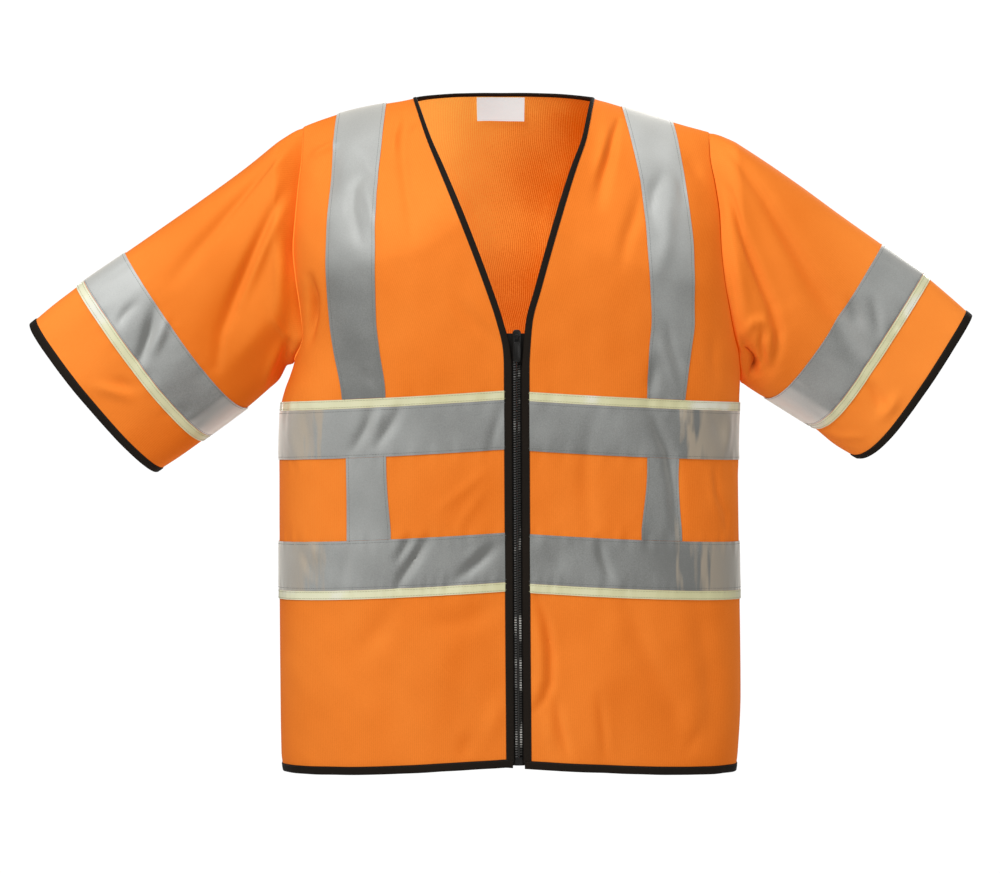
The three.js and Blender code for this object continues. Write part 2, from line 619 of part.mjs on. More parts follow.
// A panel's own wall, or that of the part of it between two rows and two columns: its outer face is
// the grid. A part that ends inside the panel stops half a gap short of the line.
function panelWall(grid, rows = [0, grid.points.length - 1], columns = [0, grid.points[0].length - 1]) {
  const inwards = (place, [first, last], lastLine) => {
    if (place === first && first > 0) return 1;
    return place === last && last < lastLine ? -1 : 0;
  };
  const atGap = (r, c) => {
    const down = inwards(r, rows, grid.points.length - 1);
    const along = inwards(c, columns, grid.points[0].length - 1);
    const share = (i, j) => GAP / 2 / grid.points[r][c].distanceTo(grid.points[r + i][c + j]);
    return { r: down ? r + down * share(down, 0) : r, c: along ? c + along * share(0, along) : c };
  };
  const places = steps(...rows).map((r) => steps(...columns).map((c) => atGap(r, c)));
  const layer = (lift) => places.map((row) => row.map(({ r, c }) => lifted(grid, r, c, lift)));
  const turned = grid.turned && ((r, c) => grid.turned(r + rows[0], c + columns[0]));
  return wall(layer(-CLOTH), layer(0), grid.closed, turned);
}

// A piece that lies on grids of points, through the given places of each.
function overlay(rows, closed = false, turned) {
  const layer = (lift) => rows.map((row) => row.map(({ grid, r, c }) => lifted(grid, r, c, lift)));
  return wall(layer(GAP), layer(GAP + TAPE), closed, turned);
}

const steps = (first, last) => Array.from({ length: last - first + 1 }, (_, i) => first + i);
const patchRows = (grid, rows, columns) => rows.map((r) => columns.map((c) => ({ grid, r, c })));

// How many rows or columns a distance is, from a line of the grid towards the next one.
function rowsIn(grid, row, column, distance) {
  const next = row + Math.sign(distance);
  return distance / grid.points[row][column].distanceTo(grid.points[next][column]);
}

// Outline of a binding round a cut edge. Edge and far are places on the grid: the cut edge and where
// the binding's two leaves end.
function channelOutline(edge, far) {
  const here = lifted(edge.grid, edge.r, edge.c, 0);
  const normal = new THREE.Vector3().subVectors(lifted(edge.grid, edge.r, edge.c, 1), here);
  const out = new THREE.Vector3().subVectors(here, lifted(far.grid, far.r, far.c, 0));
  out.addScaledVector(normal, -out.dot(normal) / normal.lengthSq()).normalize();
  const atEdge = (distance, lift) => here.clone().addScaledVector(out, distance).addScaledVector(normal, lift);
  const atFar = (lift) => lifted(far.grid, far.r, far.c, lift);
  const top = GAP + BINDING;
  const bottom = -CLOTH - GAP - BINDING;
  return [
    atFar(top), atEdge(INSET, top), atEdge(INSET, bottom), atFar(bottom),
    atFar(-CLOTH - GAP), atEdge(GAP, -CLOTH - GAP), atEdge(GAP, GAP), atFar(GAP),
  ];
}
const CHANNEL_CAP = [[0, 1, 6], [0, 6, 7], [1, 2, 5], [1, 5, 6], [2, 3, 4], [2, 4, 5]];

// ---------------------------------------------------------------- torso and what is sewn on it

const fronts = { right: frontGrid(RIGHT), left: frontGrid(LEFT) };
const back = backGrid();
const sleeves = {
  right: sleeveGrid(fronts.right, back, RIGHT),
  left: sleeveGrid(fronts.left, back, LEFT),
};

// The back is one piece of cloth. Its four solids meet under the upper band and the shoulder tapes.
const BACK_CUTS = { row: ROW.highBandTop, right: BACK_COLUMN.right.tapeIn, left: BACK_COLUMN.left.tapeIn };
const aboveCut = [BACK_CUTS.row, ROW.shoulder];
addPiece("back_lower", panelWall(back, [0, BACK_CUTS.row]), "cloth");
addPiece("back_upper", panelWall(back, aboveCut, [BACK_CUTS.right, BACK_CUTS.left]), "cloth");
addPiece("back_side_right", panelWall(back, aboveCut, [0, BACK_CUTS.right]), "cloth");
addPiece("back_side_left", panelWall(back, aboveCut, [BACK_CUTS.left, BACK_LAST]), "cloth");
for (const side of SIDES) {
  addPiece(`front_${side.name}`, panelWall(fronts[side.name]), "cloth");
  addPiece(`sleeve_${side.name}`, panelWall(sleeves[side.name]), "cloth");
}

// Bands and glow strips go round the torso in three lengths, joined at the side seams.
const BANDS = [
  { name: "lower_glow", rows: [ROW.lowGlow, ROW.lowBand], finish: "glow", trim: -1 },
  { name: "lower_band", rows: [ROW.lowBand, ROW.lowBandTop], finish: "tape", trim: 0 },
  { name: "upper_band", rows: [ROW.highBand, ROW.highBandTop], finish: "tape", trim: 0 },
  { name: "upper_glow", rows: [ROW.highBandTop, ROW.highGlowTop], finish: "glow", trim: 1 },
];
for (const { name, rows, finish, trim } of BANDS) {
  const placed = (grid, columns) => {
    const [low, high] = rows;
    const gap = (column) => rowsIn(grid, low, column, GAP);
    const start = (c) => (trim > 0 ? low + gap(Math.floor(c)) : low);
    const end = (c) => (trim < 0 ? high - gap(Math.floor(c)) : high);
    const places = [start, end].map((place) => columns.map((c) => ({ grid, r: place(c), c })));
    return overlay(places, false, grid.turned);
  };
  for (const side of SIDES) {
    const grid = fronts[side.name];
    const column = FRONT_COLUMN.binding;
    const first = column + GAP / grid.points[rows[0]][column].distanceTo(grid.points[rows[0]][column + 1]);
    const columns = [first, ...steps(column + 1, FRONT_COLUMN.side)];
    addPiece(`${name}_front_${side.name}`, placed(grid, columns), finish);
  }
  addPiece(`${name}_back`, placed(back, steps(0, BACK_LAST)), finish);
}

// The vertical tapes: over each shoulder, and on each front between the two bands.
for (const side of SIDES) {
  const grid = fronts[side.name];
  const columns = steps(FRONT_COLUMN.tapeIn, FRONT_COLUMN.tapeOut);
  const { tapeIn, tapeOut } = BACK_COLUMN[side.name];
  const backColumns = [tapeIn, tapeOut];
  const above = (panel, column) => ROW.highGlowTop + rowsIn(panel, ROW.highGlowTop, column, GAP);
  const up = [above(grid, columns[0]), ...steps(ROW.underarm, ROW.shoulder)];
  const down = [above(back, tapeIn), ...steps(ROW.underarm, ROW.shoulder)].reverse();
  const over = [...patchRows(grid, up, columns), ...patchRows(back, down, backColumns)];
  const pastShoulder = (row) => row >= up.length;
  addPiece(`shoulder_tape_${side.name}`, overlay(over, false, pastShoulder), "tape");

  const low = ROW.lowBandTop + rowsIn(grid, ROW.lowBandTop, columns[0], GAP);
  const high = ROW.highBand + rowsIn(grid, ROW.highBand, columns[0], -GAP);
  const middle = ROW.lowBandTop + 1;
  addPiece(`waist_tape_${side.name}`, overlay(patchRows(grid, [low, middle, high], columns)), "tape");
}

// Sleeve tapes and their glow strips go right round.
for (const side of SIDES) {
  const grid = sleeves[side.name];
  const columns = steps(0, grid.points[0].length - 1);
  const rings = ([first, last], gap) => [first + 1 + gap, last + 1];
  const glowGap = GAP / grid.points[GLOW_RINGS[0] + 1][0].distanceTo(grid.points[GLOW_RINGS[1] + 1][0]);
  addPiece(`sleeve_tape_${side.name}`, overlay(patchRows(grid, rings(TAPE_RINGS, 0), columns), true), "tape");
  addPiece(`sleeve_glow_${side.name}`, overlay(patchRows(grid, rings(GLOW_RINGS, glowGap), columns), true), "glow");
}

// ---------------------------------------------------------------- bindings

// A binding through places along a cut edge. Its leaves are cut in two along the same diagonals as
// the cells of the grid under them: from the cut edge on to the next far place, or the other way.
const EDGE_FIRST_TURNED = [0, 4];
const FAR_FIRST_TURNED = [2, 6];
const fromEdge = () => true;
const fromFar = () => false;
function channel(places, edgeFirst, closed = false) {
  const turned = (s, k) => (edgeFirst(s) ? EDGE_FIRST_TURNED : FAR_FIRST_TURNED).includes(k);
  return sweep(places.map(([edge, far]) => channelOutline(edge, far)), closed, turned);
}

for (const side of SIDES) {
  const grid = fronts[side.name];
  const start = ROW.hemBinding + rowsIn(grid, ROW.hemBinding, FRONT_COLUMN.edge, GAP);
  const rows = [start, ...steps(ROW.hemBinding + 1, ROW.shoulder)];
  const edge = rows.map((r) => [{ grid, r, c: FRONT_COLUMN.edge }, { grid, r, c: FRONT_COLUMN.binding }]);
  addPiece(`edge_binding_${side.name}`, channel(edge, fromEdge), "binding");
  const hem = steps(FRONT_COLUMN.edge, FRONT_COLUMN.side).map((c) => [
    { grid, r: ROW.hem, c },
    { grid, r: ROW.hemBinding, c },
  ]);
  addPiece(`hem_binding_front_${side.name}`, channel(hem, fromEdge), "binding");
  const sleeve = sleeves[side.name];
  const last = sleeve.points.length - 1;
  const cuff = steps(0, sleeve.points[0].length - 1).map((c) => [
    { grid: sleeve, r: last, c },
    { grid: sleeve, r: last + rowsIn(sleeve, last, c, INSET - HEM_BINDING_WIDTH), c },
  ]);
  addPiece(`sleeve_binding_${side.name}`, channel(cuff, fromFar, true), "binding");
}

const hemBack = steps(0, BACK_LAST).map((c) => [
  { grid: back, r: ROW.hem, c },
  { grid: back, r: ROW.hemBinding, c },
]);
addPiece("hem_binding_back", channel(hemBack, (s) => s >= BACK_LAST / 2), "binding");

// The back's neck binding stops just short of the side-neck points, where the front's comes over.
const napeColumns = steps(BACK_COLUMN.right.neck, BACK_COLUMN.left.neck);
napeColumns[0] += NAPE_END;
napeColumns[napeColumns.length - 1] -= NAPE_END;
const nape = napeColumns.map((c) => [
  { grid: back, r: ROW.shoulder, c },
  { grid: back, r: ROW.shoulder - 1, c },
]);
addPiece("neck_binding_back", channel(nape, (s) => napeColumns[s] < Math.floor(BACK_LAST / 2)), "binding");

// ---------------------------------------------------------------- label

// The neck label hangs inside the back from under the neck binding, a little clear lower down.
const centre = BACK_LAST / 2;
const labelColumn = (x) => centre + x / (NAPE_FILL[3] * Math.abs(neckPointX(sideOf(x))));
const labelTop = ROW.shoulder - 1 + rowsIn(back, ROW.shoulder - 1, centre, -GAP);
const labelRows = [labelTop, ROW.shoulder - 2, ROW.shoulder - 3 + LABEL.bottom];
const labelColumns = [LABEL.right, 0, LABEL.left].map(labelColumn);
const labelLayer = (lift) => labelRows.map((r, i) =>
  labelColumns.map((c) => lifted(back, r, c, lift - LABEL.hang * i)));
const label = wall(labelLayer(-CLOTH - GAP - TAPE), labelLayer(-CLOTH - GAP), false, (r, c) => c < 1);
addPiece("neck_label", label, "label");

// ---------------------------------------------------------------- zip

// A point by the zip: across from its line, and back from the outer face of the fronts.
function zipPoint(z, across, behind) {
  const x = zipX(z) + across;
  return new THREE.Vector3(x, behind - torsoDepth("front", x, z), z);
}

function zipStrip(heights, across, behind, thickness) {
  const layer = (depth) => heights.map((z) => across.map((x) => zipPoint(z, x, depth)));
  return wall(layer(behind + thickness), layer(behind), false);
}

const zipHeights = (low) => [
  ...steps(0, ZIP_STEPS).map((step) => mix(low, ZIP_TOP_Z - UNDER_SLIDER, step / ZIP_STEPS)),
  ZIP_TOP_Z,
];
const boxTop = ZIP_END_Z + BOX.height;
for (const side of SIDES) {
  const halfChain = [side.sign * SEAM, side.sign * CHAIN.halfWidth];
  const tape = [side.sign * (CHAIN.halfWidth + GAP), side.sign * ZIP_TAPE.edge];
  const chain = zipStrip(zipHeights(boxTop + GAP), halfChain, CHAIN.behind, CHAIN.thickness);
  addPiece(`zip_chain_${side.name}`, chain, "zip");
  addPiece(`zip_tape_${side.name}`, zipStrip(zipHeights(ZIP_END_Z), tape, ZIP_TAPE.behind, TAPE), "binding");
}
const boxBehind = CHAIN.behind - (BOX.thickness - CHAIN.thickness) / 2;
const boxAcross = [-CHAIN.halfWidth, CHAIN.halfWidth];
addPiece("zip_box", zipStrip([ZIP_END_Z, boxTop], boxAcross, boxBehind, BOX.thickness), "zip");

// The slider and its pull tab stand in a frame of their own: the origin is on the pull's axis, +Z
// runs up the chain and the slider's front plate faces -Y.
const wasm = await Module();
wasm.setup();

function toManifold(geometry) {
  const bare = geometry.clone();
  bare.deleteAttribute("normal");
  bare.deleteAttribute("uv");
  const merged = mergeVertices(bare);
  const mesh = { numProp: 3, vertProperties: merged.attributes.position.array, triVerts: merged.index.array };
  return new wasm.Manifold(new wasm.Mesh(mesh));
}

function fromManifold(body) {
  const mesh = body.getMesh();
  const geometry = new THREE.BufferGeometry();
  geometry.setAttribute("position", new THREE.Float32BufferAttribute(mesh.vertProperties, 3));
  geometry.setIndex(Array.from(mesh.triVerts));
  return geometry;
}

const outline = (points) => new THREE.Shape(points.map(([a, b]) => new THREE.Vector2(a, b)));
const sideways = new THREE.Matrix4().makeBasis(
  new THREE.Vector3(0, 1, 0),
  new THREE.Vector3(0, 0, 1),
  new THREE.Vector3(1, 0, 0),
);

// A profile seen from the side, y and z of each corner, as wide as given about the middle.
function sideProfile(points, width) {
  const geometry = new THREE.ExtrudeGeometry(outline(points), { depth: width, bevelEnabled: false });
  return geometry.translate(0, 0, -width / 2).applyMatrix4(sideways);
}

const plateFront = PULL_AXIS.reach;
const plateBack = plateFront + SLIDER.plate;
const rearFront = plateBack + 2 * GAP + CHAIN.thickness;
const rearBack = rearFront + SLIDER.plate;
const postFoot = PULL_AXIS.drop + GAP;
const sliderTop = PULL_AXIS.drop + SLIDER.crown;
const sliderFoot = PULL_AXIS.drop - SLIDER.length;
const sliderBody = sideProfile([
  [plateFront, sliderFoot], [plateBack, sliderFoot], [plateBack, postFoot], [rearFront, postFoot],
  [rearFront, sliderFoot], [rearBack, sliderFoot], [rearBack, sliderTop], [plateFront, sliderTop],
], SLIDER.width);
const lugFront = plateFront - LUG.reach;
const lugHalf = LUG.halfLength;
const lugHole = lugHalf - LUG.wall;
const lugFoot = plateFront + LUG.foot;
const lug = sideProfile([
  [lugFoot, -lugHalf], [lugFoot, -lugHole], [lugFront + LUG.wall, -lugHole],
  [lugFront + LUG.wall, lugHole], [lugFoot, lugHole], [lugFoot, lugHalf],
  [lugFront, lugHalf], [lugFront, -lugHalf],
], LUG.width);
const sliderSolid = toManifold(sliderBody).add(toManifold(lug));

// The pull tab: a plate with rounded lower corners and a window that the slider's lug stands in.
const pullHalf = PULL.width / 2;
const pullOutline = new THREE.Shape();
pullOutline.moveTo(-pullHalf, PULL.bar / 2);
pullOutline.lineTo(-pullHalf, PULL.corner - PULL.length);
pullOutline.quadraticCurveTo(-pullHalf, -PULL.length, PULL.corner - pullHalf, -PULL.length);
pullOutline.lineTo(pullHalf - PULL.corner, -PULL.length);
pullOutline.quadraticCurveTo(pullHalf, -PULL.length, pullHalf, PULL.corner - PULL.length);
pullOutline.lineTo(pullHalf, PULL.bar / 2);
pullOutline.closePath();
const windowTop = -PULL.bar / 2;
const windowHalf = PULL_WINDOW.width / 2;
pullOutline.holes.push(outline([
  [-windowHalf, windowTop], [windowHalf, windowTop],
  [windowHalf, windowTop - PULL_WINDOW.length], [-windowHalf, windowTop - PULL_WINDOW.length],
]));
const pull = new THREE.ExtrudeGeometry(pullOutline, {
  depth: PULL.thickness,
  bevelEnabled: false,
  curveSegments: 3,
}).translate(0, 0, -PULL.thickness / 2).rotateX(Math.PI / 2);

const hardware = new THREE.Group();
const axisZ = ZIP_TOP_Z - PULL_AXIS.drop;
const chainFront = zipPoint(axisZ, 0, CHAIN.behind - GAP - SLIDER.plate - PULL_AXIS.reach);
const chainLow = zipPoint(ZIP_TOP_Z - SLIDER.length, 0, 0);
const chainHigh = zipPoint(ZIP_TOP_Z, 0, 0);
hardware.position.copy(chainFront);
hardware.rotation.x = Math.atan2(chainLow.y - chainHigh.y, chainHigh.z - chainLow.z);
vest.add(hardware);
addPiece("zip_slider", fromManifold(sliderSolid), "zip", hardware);
const pullTab = addPiece("zip_pull_tab", pull, "zip", hardware);
pullTab.rotation.x = -hardware.rotation.x; // the tab hangs plumb in front of the sloping chain

export default vest;
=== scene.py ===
"""Looks of a short-sleeved safety vest, filled out with nobody in it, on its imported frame.

Tables and fields are in millimetres, and meshes are in metres. +Z is up, the front faces -Y and
the wearer's left is +X. The origin is midway between the two side-neck points.
"""

import logging
import math
from dataclasses import dataclass, field, replace
from enum import Enum
from typing import Callable, Optional, Sequence, Union

import bmesh
import bpy
import numpy as np
from mathutils import Matrix, Vector

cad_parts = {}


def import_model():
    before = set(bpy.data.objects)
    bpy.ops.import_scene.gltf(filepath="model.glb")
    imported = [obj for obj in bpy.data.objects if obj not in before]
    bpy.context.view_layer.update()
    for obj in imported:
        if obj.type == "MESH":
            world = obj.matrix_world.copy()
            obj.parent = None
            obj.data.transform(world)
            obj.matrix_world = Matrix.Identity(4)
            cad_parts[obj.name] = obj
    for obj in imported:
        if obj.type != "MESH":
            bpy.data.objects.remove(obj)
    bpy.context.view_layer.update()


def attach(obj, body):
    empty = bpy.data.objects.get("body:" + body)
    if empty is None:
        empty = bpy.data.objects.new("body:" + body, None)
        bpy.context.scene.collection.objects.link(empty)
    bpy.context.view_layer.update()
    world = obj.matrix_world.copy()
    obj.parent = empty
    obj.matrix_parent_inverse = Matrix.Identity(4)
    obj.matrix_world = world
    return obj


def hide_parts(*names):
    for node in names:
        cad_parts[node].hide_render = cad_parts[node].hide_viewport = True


LOG = logging.getLogger("safety_vest")
MM = 0.001
GARMENT = "garment"
PULL_TAB = "pull_tab"

Numbers = Union[float, np.ndarray]
Colour = tuple[int, int, int]


# ---------------------------------------------------------------- tables of the cut


class Table:
    """Rows of sizes under named columns, read smoothly between the rows. The first column rises."""

    def __init__(self, names: str, *rows: tuple[float, ...]) -> None:
        """Keeps the rows.

        Args:
            names: The names of the columns, with spaces between them.
            rows: The values of each row.
        """
        self.names = names.split()
        self.values = dict(zip(self.names, np.array(rows, dtype=float).T))

    def at(self, name: str, place: Numbers) -> np.ndarray:
        """Reads a column at places between the rows.

        Args:
            name: The column.
            place: Values of the first column.

        Returns:
            The column's values there, on a curve that never overshoots a row.
        """
        keys, values = self.values[self.names[0]], self.values[name]
        slopes = np.diff(values) / np.diff(keys)
        before, after = slopes[:-1], slopes[1:]
        same = before * after > 0
        inner = np.where(same, 2 * before * after / np.where(same, before + after, 1), 0)
        tangents = np.concatenate([slopes[:1], inner, slopes[-1:]])
        place = np.clip(place, keys[0], keys[-1])
        i = np.clip(np.searchsorted(keys, place, side="right") - 1, 0, len(keys) - 2)
        span = keys[i + 1] - keys[i]
        t = (place - keys[i]) / span
        bend = tangents[i] * (1 - t) ** 2 * t + tangents[i + 1] * (t - 1) * t**2
        return values[i] + (values[i + 1] - values[i]) * t * t * (3 - 2 * t) + bend * span


SECTIONS = Table(
    "z right left front back",
    (-698, 230, 238, 101, 97),
    (-679, 233, 240.5, 103, 99),
    (-617, 234, 243.5, 104, 99),
    (-461, 235, 241.5, 106, 99),
    (-367, 235, 240.5, 111, 103),
    (-320, 232.9, 241.5, 115, 106),
    (-305, 229.5, 242.3, 116.5, 107),
    (-289, 223.6, 243, 118, 108),
    (-275, 219.4, 243.2, 119, 109),
    (-250, 216, 241, 121, 111),
    (-220, 219, 238.5, 123, 113),
    (-190, 224, 235.8, 124, 114),
    (-140, 227, 232, 123, 116),
    (-80, 225, 227, 118, 113),
    (60, 224, 222, 110, 106),
)

SHOULDER_LINE = Table(
    "out right left",
    (-30, 36, 36),
    (0, 42, 42),
    (30, 36, 36),
    (60, 19, 19),
    (90, 0.5, -0.5),
    (105, -3.2, -5),
    (136, -8.4, -14.5),
    (167, -15.6, -24),
    (199, -26, -33),
    (214, -32.3, -37),
    (230, -41.6, -42),
    (260, -60, -56),
)

ZIP_LINE = Table("z x", (-700, 13), (-480, 11.5), (-249, 10.6), (20, 10.6))

FRONT_EDGE = Table(
    "z right left wide",
    (-700, 4.6, 4.6, 8.2),
    (-285, 5, 4.9, 8),
    (-266, 6.4, 6.3, 7.4),
    (-236, 13.8, 9.3, 7),
    (-206, 23.8, 17.4, 7),
    (-144, 47.1, 34.8, 7),
    (-81, 72.9, 54.6, 6.2),
    (-49, 86.6, 66.4, 5),
    (-15, 98.5, 74.2, 4.4),
    (3, 104.5, 78.5, 4),
)

ARMHOLE = Table(
    "z right left",
    (-300, 222, 243.4),
    (-266, 214, 240),
    (-250, 209, 235.4),
    (-222, 211.5, 229.6),
    (-190, 216, 224),
    (-160, 218.8, 221),
    (-125, 216.4, 219.8),
    (-94, 214, 216),
    (-60, 211, 211),
    (-10, 210.5, 211),
)

SHOULDER_TAPE = Table(
    "z right_in right_out left_in left_out",
    (-448, 116.7, 161.2, 136.7, 178.2),
    (-387, 121, 162, 142.5, 175.8),
    (-311, 121.6, 166.2, 142.6, 181.1),
    (-266, 127.6, 175.1, 144, 187),
    (-235, 131, 179.6, 146.5, 191),
    (-174, 132, 182, 143.5, 190.1),
    (-113, 131.6, 180.5, 139.1, 185.9),
    (-49, 127.2, 177.5, 128.2, 177.4),
    (-5, 124, 174.5, 119, 168.5),
)

RING_COLUMNS = "ring top_x top_z low_x low_z deep back sag low"
SLEEVE_RINGS = {
    "right": Table(
        RING_COLUMNS,
        (0, 240, -49, 229, -280, 58, 1, 2, 1.2),
        (1, 270, -73, 236, -293, 57, 3, 5, 1.4),
        (2, 310, -102, 247, -303, 54, 5, 8, 1.6),
        (3, 352, -131, 258, -312.5, 51, 7, 10, 1.7),
        (4, 396.2, -161.3, 269, -321.5, 48, 9, 10.5, 1.7),
        (5, 439, -190.3, 307.6, -350, 44, 11, 9, 1.6),
        (6, 447, -196.5, 316, -356, 43, 11.5, 9, 1.5),
        (7, 471, -214.5, 340, -373, 41, 13, 8.5, 1.3),
        (8, 496.4, -235.7, 365, -389.1, 40, 14, 8, 1.1),
    ),
    "left": Table(
        RING_COLUMNS,
        (0, 240, -48, 249, -299, 58, 1, 2, 1.2),
        (1, 266, -64.5, 254, -302.5, 57, 3, 6, 1.5),
        (2, 305, -91, 258, -305, 54, 5, 10, 1.8),
        (3, 347.4, -121.7, 263, -308, 51, 7, 12, 1.9),
        (4, 391.1, -152.4, 269.1, -311, 48, 9, 12.5, 1.9),
        (5, 434, -182.6, 312, -337.5, 44, 11, 13, 2.1),
        (6, 441.5, -188.5, 320, -342, 43, 11.5, 13, 2.1),
        (7, 463.6, -207, 343, -360.5, 41, 13, 13, 2),
        (8, 486.1, -227, 366.1, -374, 40, 14, 12.5, 1.8),
    ),
}

HEM_Z = -698.0
LOW_BAND_Z = -510.5
HIGH_BAND_Z = -376.5
BAND_WIDTH = 50.0
GLOW_WIDTH = 9.5
HEM_BINDING_WIDTH = 8.6
UNDERARM_Z = {-1: -275.5, 1: -294.0}
NAPE_RISE = 10.0
NAPE_POWER = 2.4
INSET = 1.3  # from the fold of a binding to the cut edge inside it
ZIP_TOP_Z = -249.0
ZIP_END_Z = -685.0

CLOTH_THICK = 0.5
TAPE_LIFT = 0.95
GLOW_LIFT = 1.05
THREAD_LIFT = 0.05  # how far a line of stitches lies above what it sews
TAPE_DOME = 0.25
TAPE_CELLS = 14
BINDING_BULGE = 1.15
BINDING_FLAT = 0.45  # how far the far edge of a binding lies above the cloth

PUCKER = 0.35  # height of the small waves along the stitches
PUCKER_LENGTH = 17.0
FOLD_SHADE_FROM = 6.5  # the depth where a fold starts to get painted shade
FOLD_SHADE_OVER = 9.0  # how much deeper a fold is where its painted shade is full

TAPE_RING, GLOW_RING, END_RING, SLEEVE_HEM_RING = 4, 5, 6, 8
RING_MM = 30.0  # between the last rings of a sleeve


class Side(Enum):
    """A half of the garment, as its wearer has it. The value is the sign of x."""

    RIGHT = -1
    LEFT = 1

    @property
    def word(self) -> str:
        """The side's name in the names of pieces."""
        return self.name.lower()


class Face(Enum):
    """The front or the back of the form. The value is the sign of y."""

    FRONT = -1
    BACK = 1

    @property
    def word(self) -> str:
        """The face's name in the tables."""
        return self.name.lower()


# ---------------------------------------------------------------- folds and ripples


def mix(a: Numbers, b: Numbers, t: Numbers) -> Numbers:
    """A value part of the way from one to another."""
    return a + (b - a) * t


def smooth(t: np.ndarray) -> np.ndarray:
    """A soft step from 0 to 1."""
    t = np.clip(t, 0, 1)
    return t * t * (3 - 2 * t)


def eased(count: int) -> np.ndarray:
    """Numbers from 0 to 1 that lie closer together towards the end."""
    return np.sin(np.linspace(0, np.pi / 2, count))


def hill(away: Numbers, width: float) -> np.ndarray:
    """A soft hump of height 1 over a distance."""
    return np.exp(-((away / width) ** 2))


def fading(along: np.ndarray, ends: float) -> np.ndarray:
    """1 at the middle of a fold, less towards its ends, where it has some height left."""
    return np.sin(np.pi * (ends + (1 - 2 * ends) * along))


@dataclass(frozen=True)
class Fold:
    """A large soft ridge, or trough where tall is negative, between two ends seen from in front."""

    x1: float
    z1: float
    x2: float
    z2: float
    wide: float
    tall: float

    def lift(self, x: np.ndarray, z: np.ndarray) -> np.ndarray:
        """How far the fold lifts the cloth at places seen from in front."""
        dx, dz = self.x2 - self.x1, self.z2 - self.z1
        along = np.clip(((x - self.x1) * dx + (z - self.z1) * dz) / math.hypot(dx, dz) ** 2, 0, 1)
        away = np.hypot(x - self.x1 - along * dx, z - self.z1 - along * dz) / self.wide
        return self.tall * fading(along, 0.12) * np.exp(-away * away)


BIG_FOLDS = {
    "sleeve": (
        Fold(-232, -55, -285, -130, 16, -4),
        Fold(-226, -140, -302, -254, 17, -5),
        Fold(-232, -222, -290, -292, 12, 4),
        Fold(230, -60, 286, -205, 16, -5),
        Fold(226, -105, 288, -228, 15, -4),
        Fold(246, -232, 282, -284, 11, 5),
    ),
    "front": (
        Fold(-60, -540, -95, -690, 26, 3),
        Fold(110, -530, 85, -690, 26, 3.5),
        Fold(175, -560, 165, -690, 22, -3),
    ),
    "back": (
        Fold(-90, -120, -70, -300, 30, -4),
        Fold(95, -130, 60, -320, 30, -3.5),
        Fold(-100, -530, -120, -690, 28, 4),
        Fold(70, -540, 90, -690, 28, 4),
    ),
}


@dataclass(frozen=True)
class Crease:
    """A soft ridge, or trough where tall is negative, along a bent line seen from in front.

    spread is how many times wider it is at its end than at its start.
    """

    wide: float
    tall: float
    spread: float
    path: tuple[tuple[float, float], ...]

    def lift(self, x: np.ndarray, z: np.ndarray) -> np.ndarray:
        """How far the crease lifts the cloth at places seen from in front."""
        x, z = np.broadcast_arrays(x, z)
        points = np.array(self.path, dtype=float)
        reach = 3 * self.wide * max(1.0, self.spread)
        low, high = points.min(axis=0) - reach, points.max(axis=0) + reach
        near = (x > low[0]) & (x < high[0]) & (z > low[1]) & (z < high[1])
        place = np.stack([x[near], z[near]], axis=-1)
        runs = np.linalg.norm(np.diff(points, axis=0), axis=1)
        starts = runs.cumsum() - runs
        away, along = np.full(len(place), np.inf), np.zeros(len(place))
        for point, step, run, start in zip(points, np.diff(points, axis=0), runs, starts):
            share = np.clip((place - point) @ step / run**2, 0, 1)
            distance = np.linalg.norm(place - point - share[:, None] * step, axis=1)
            along = np.where(distance < away, (start + share * run) / runs.sum(), along)
            away = np.minimum(distance, away)
        wide = self.wide * mix(1, self.spread, along)
        total = np.zeros(x.shape)
        total[near] = self.tall * fading(along, 0.1) * np.exp(-((away / wide) ** 2))
        return total


def creases(*rows: tuple) -> tuple[Crease, ...]:
    """Creases from rows of how wide, how tall, how much they spread and the points of the path."""
    return tuple(Crease(wide, tall, spread, path) for wide, tall, spread, *path in rows)


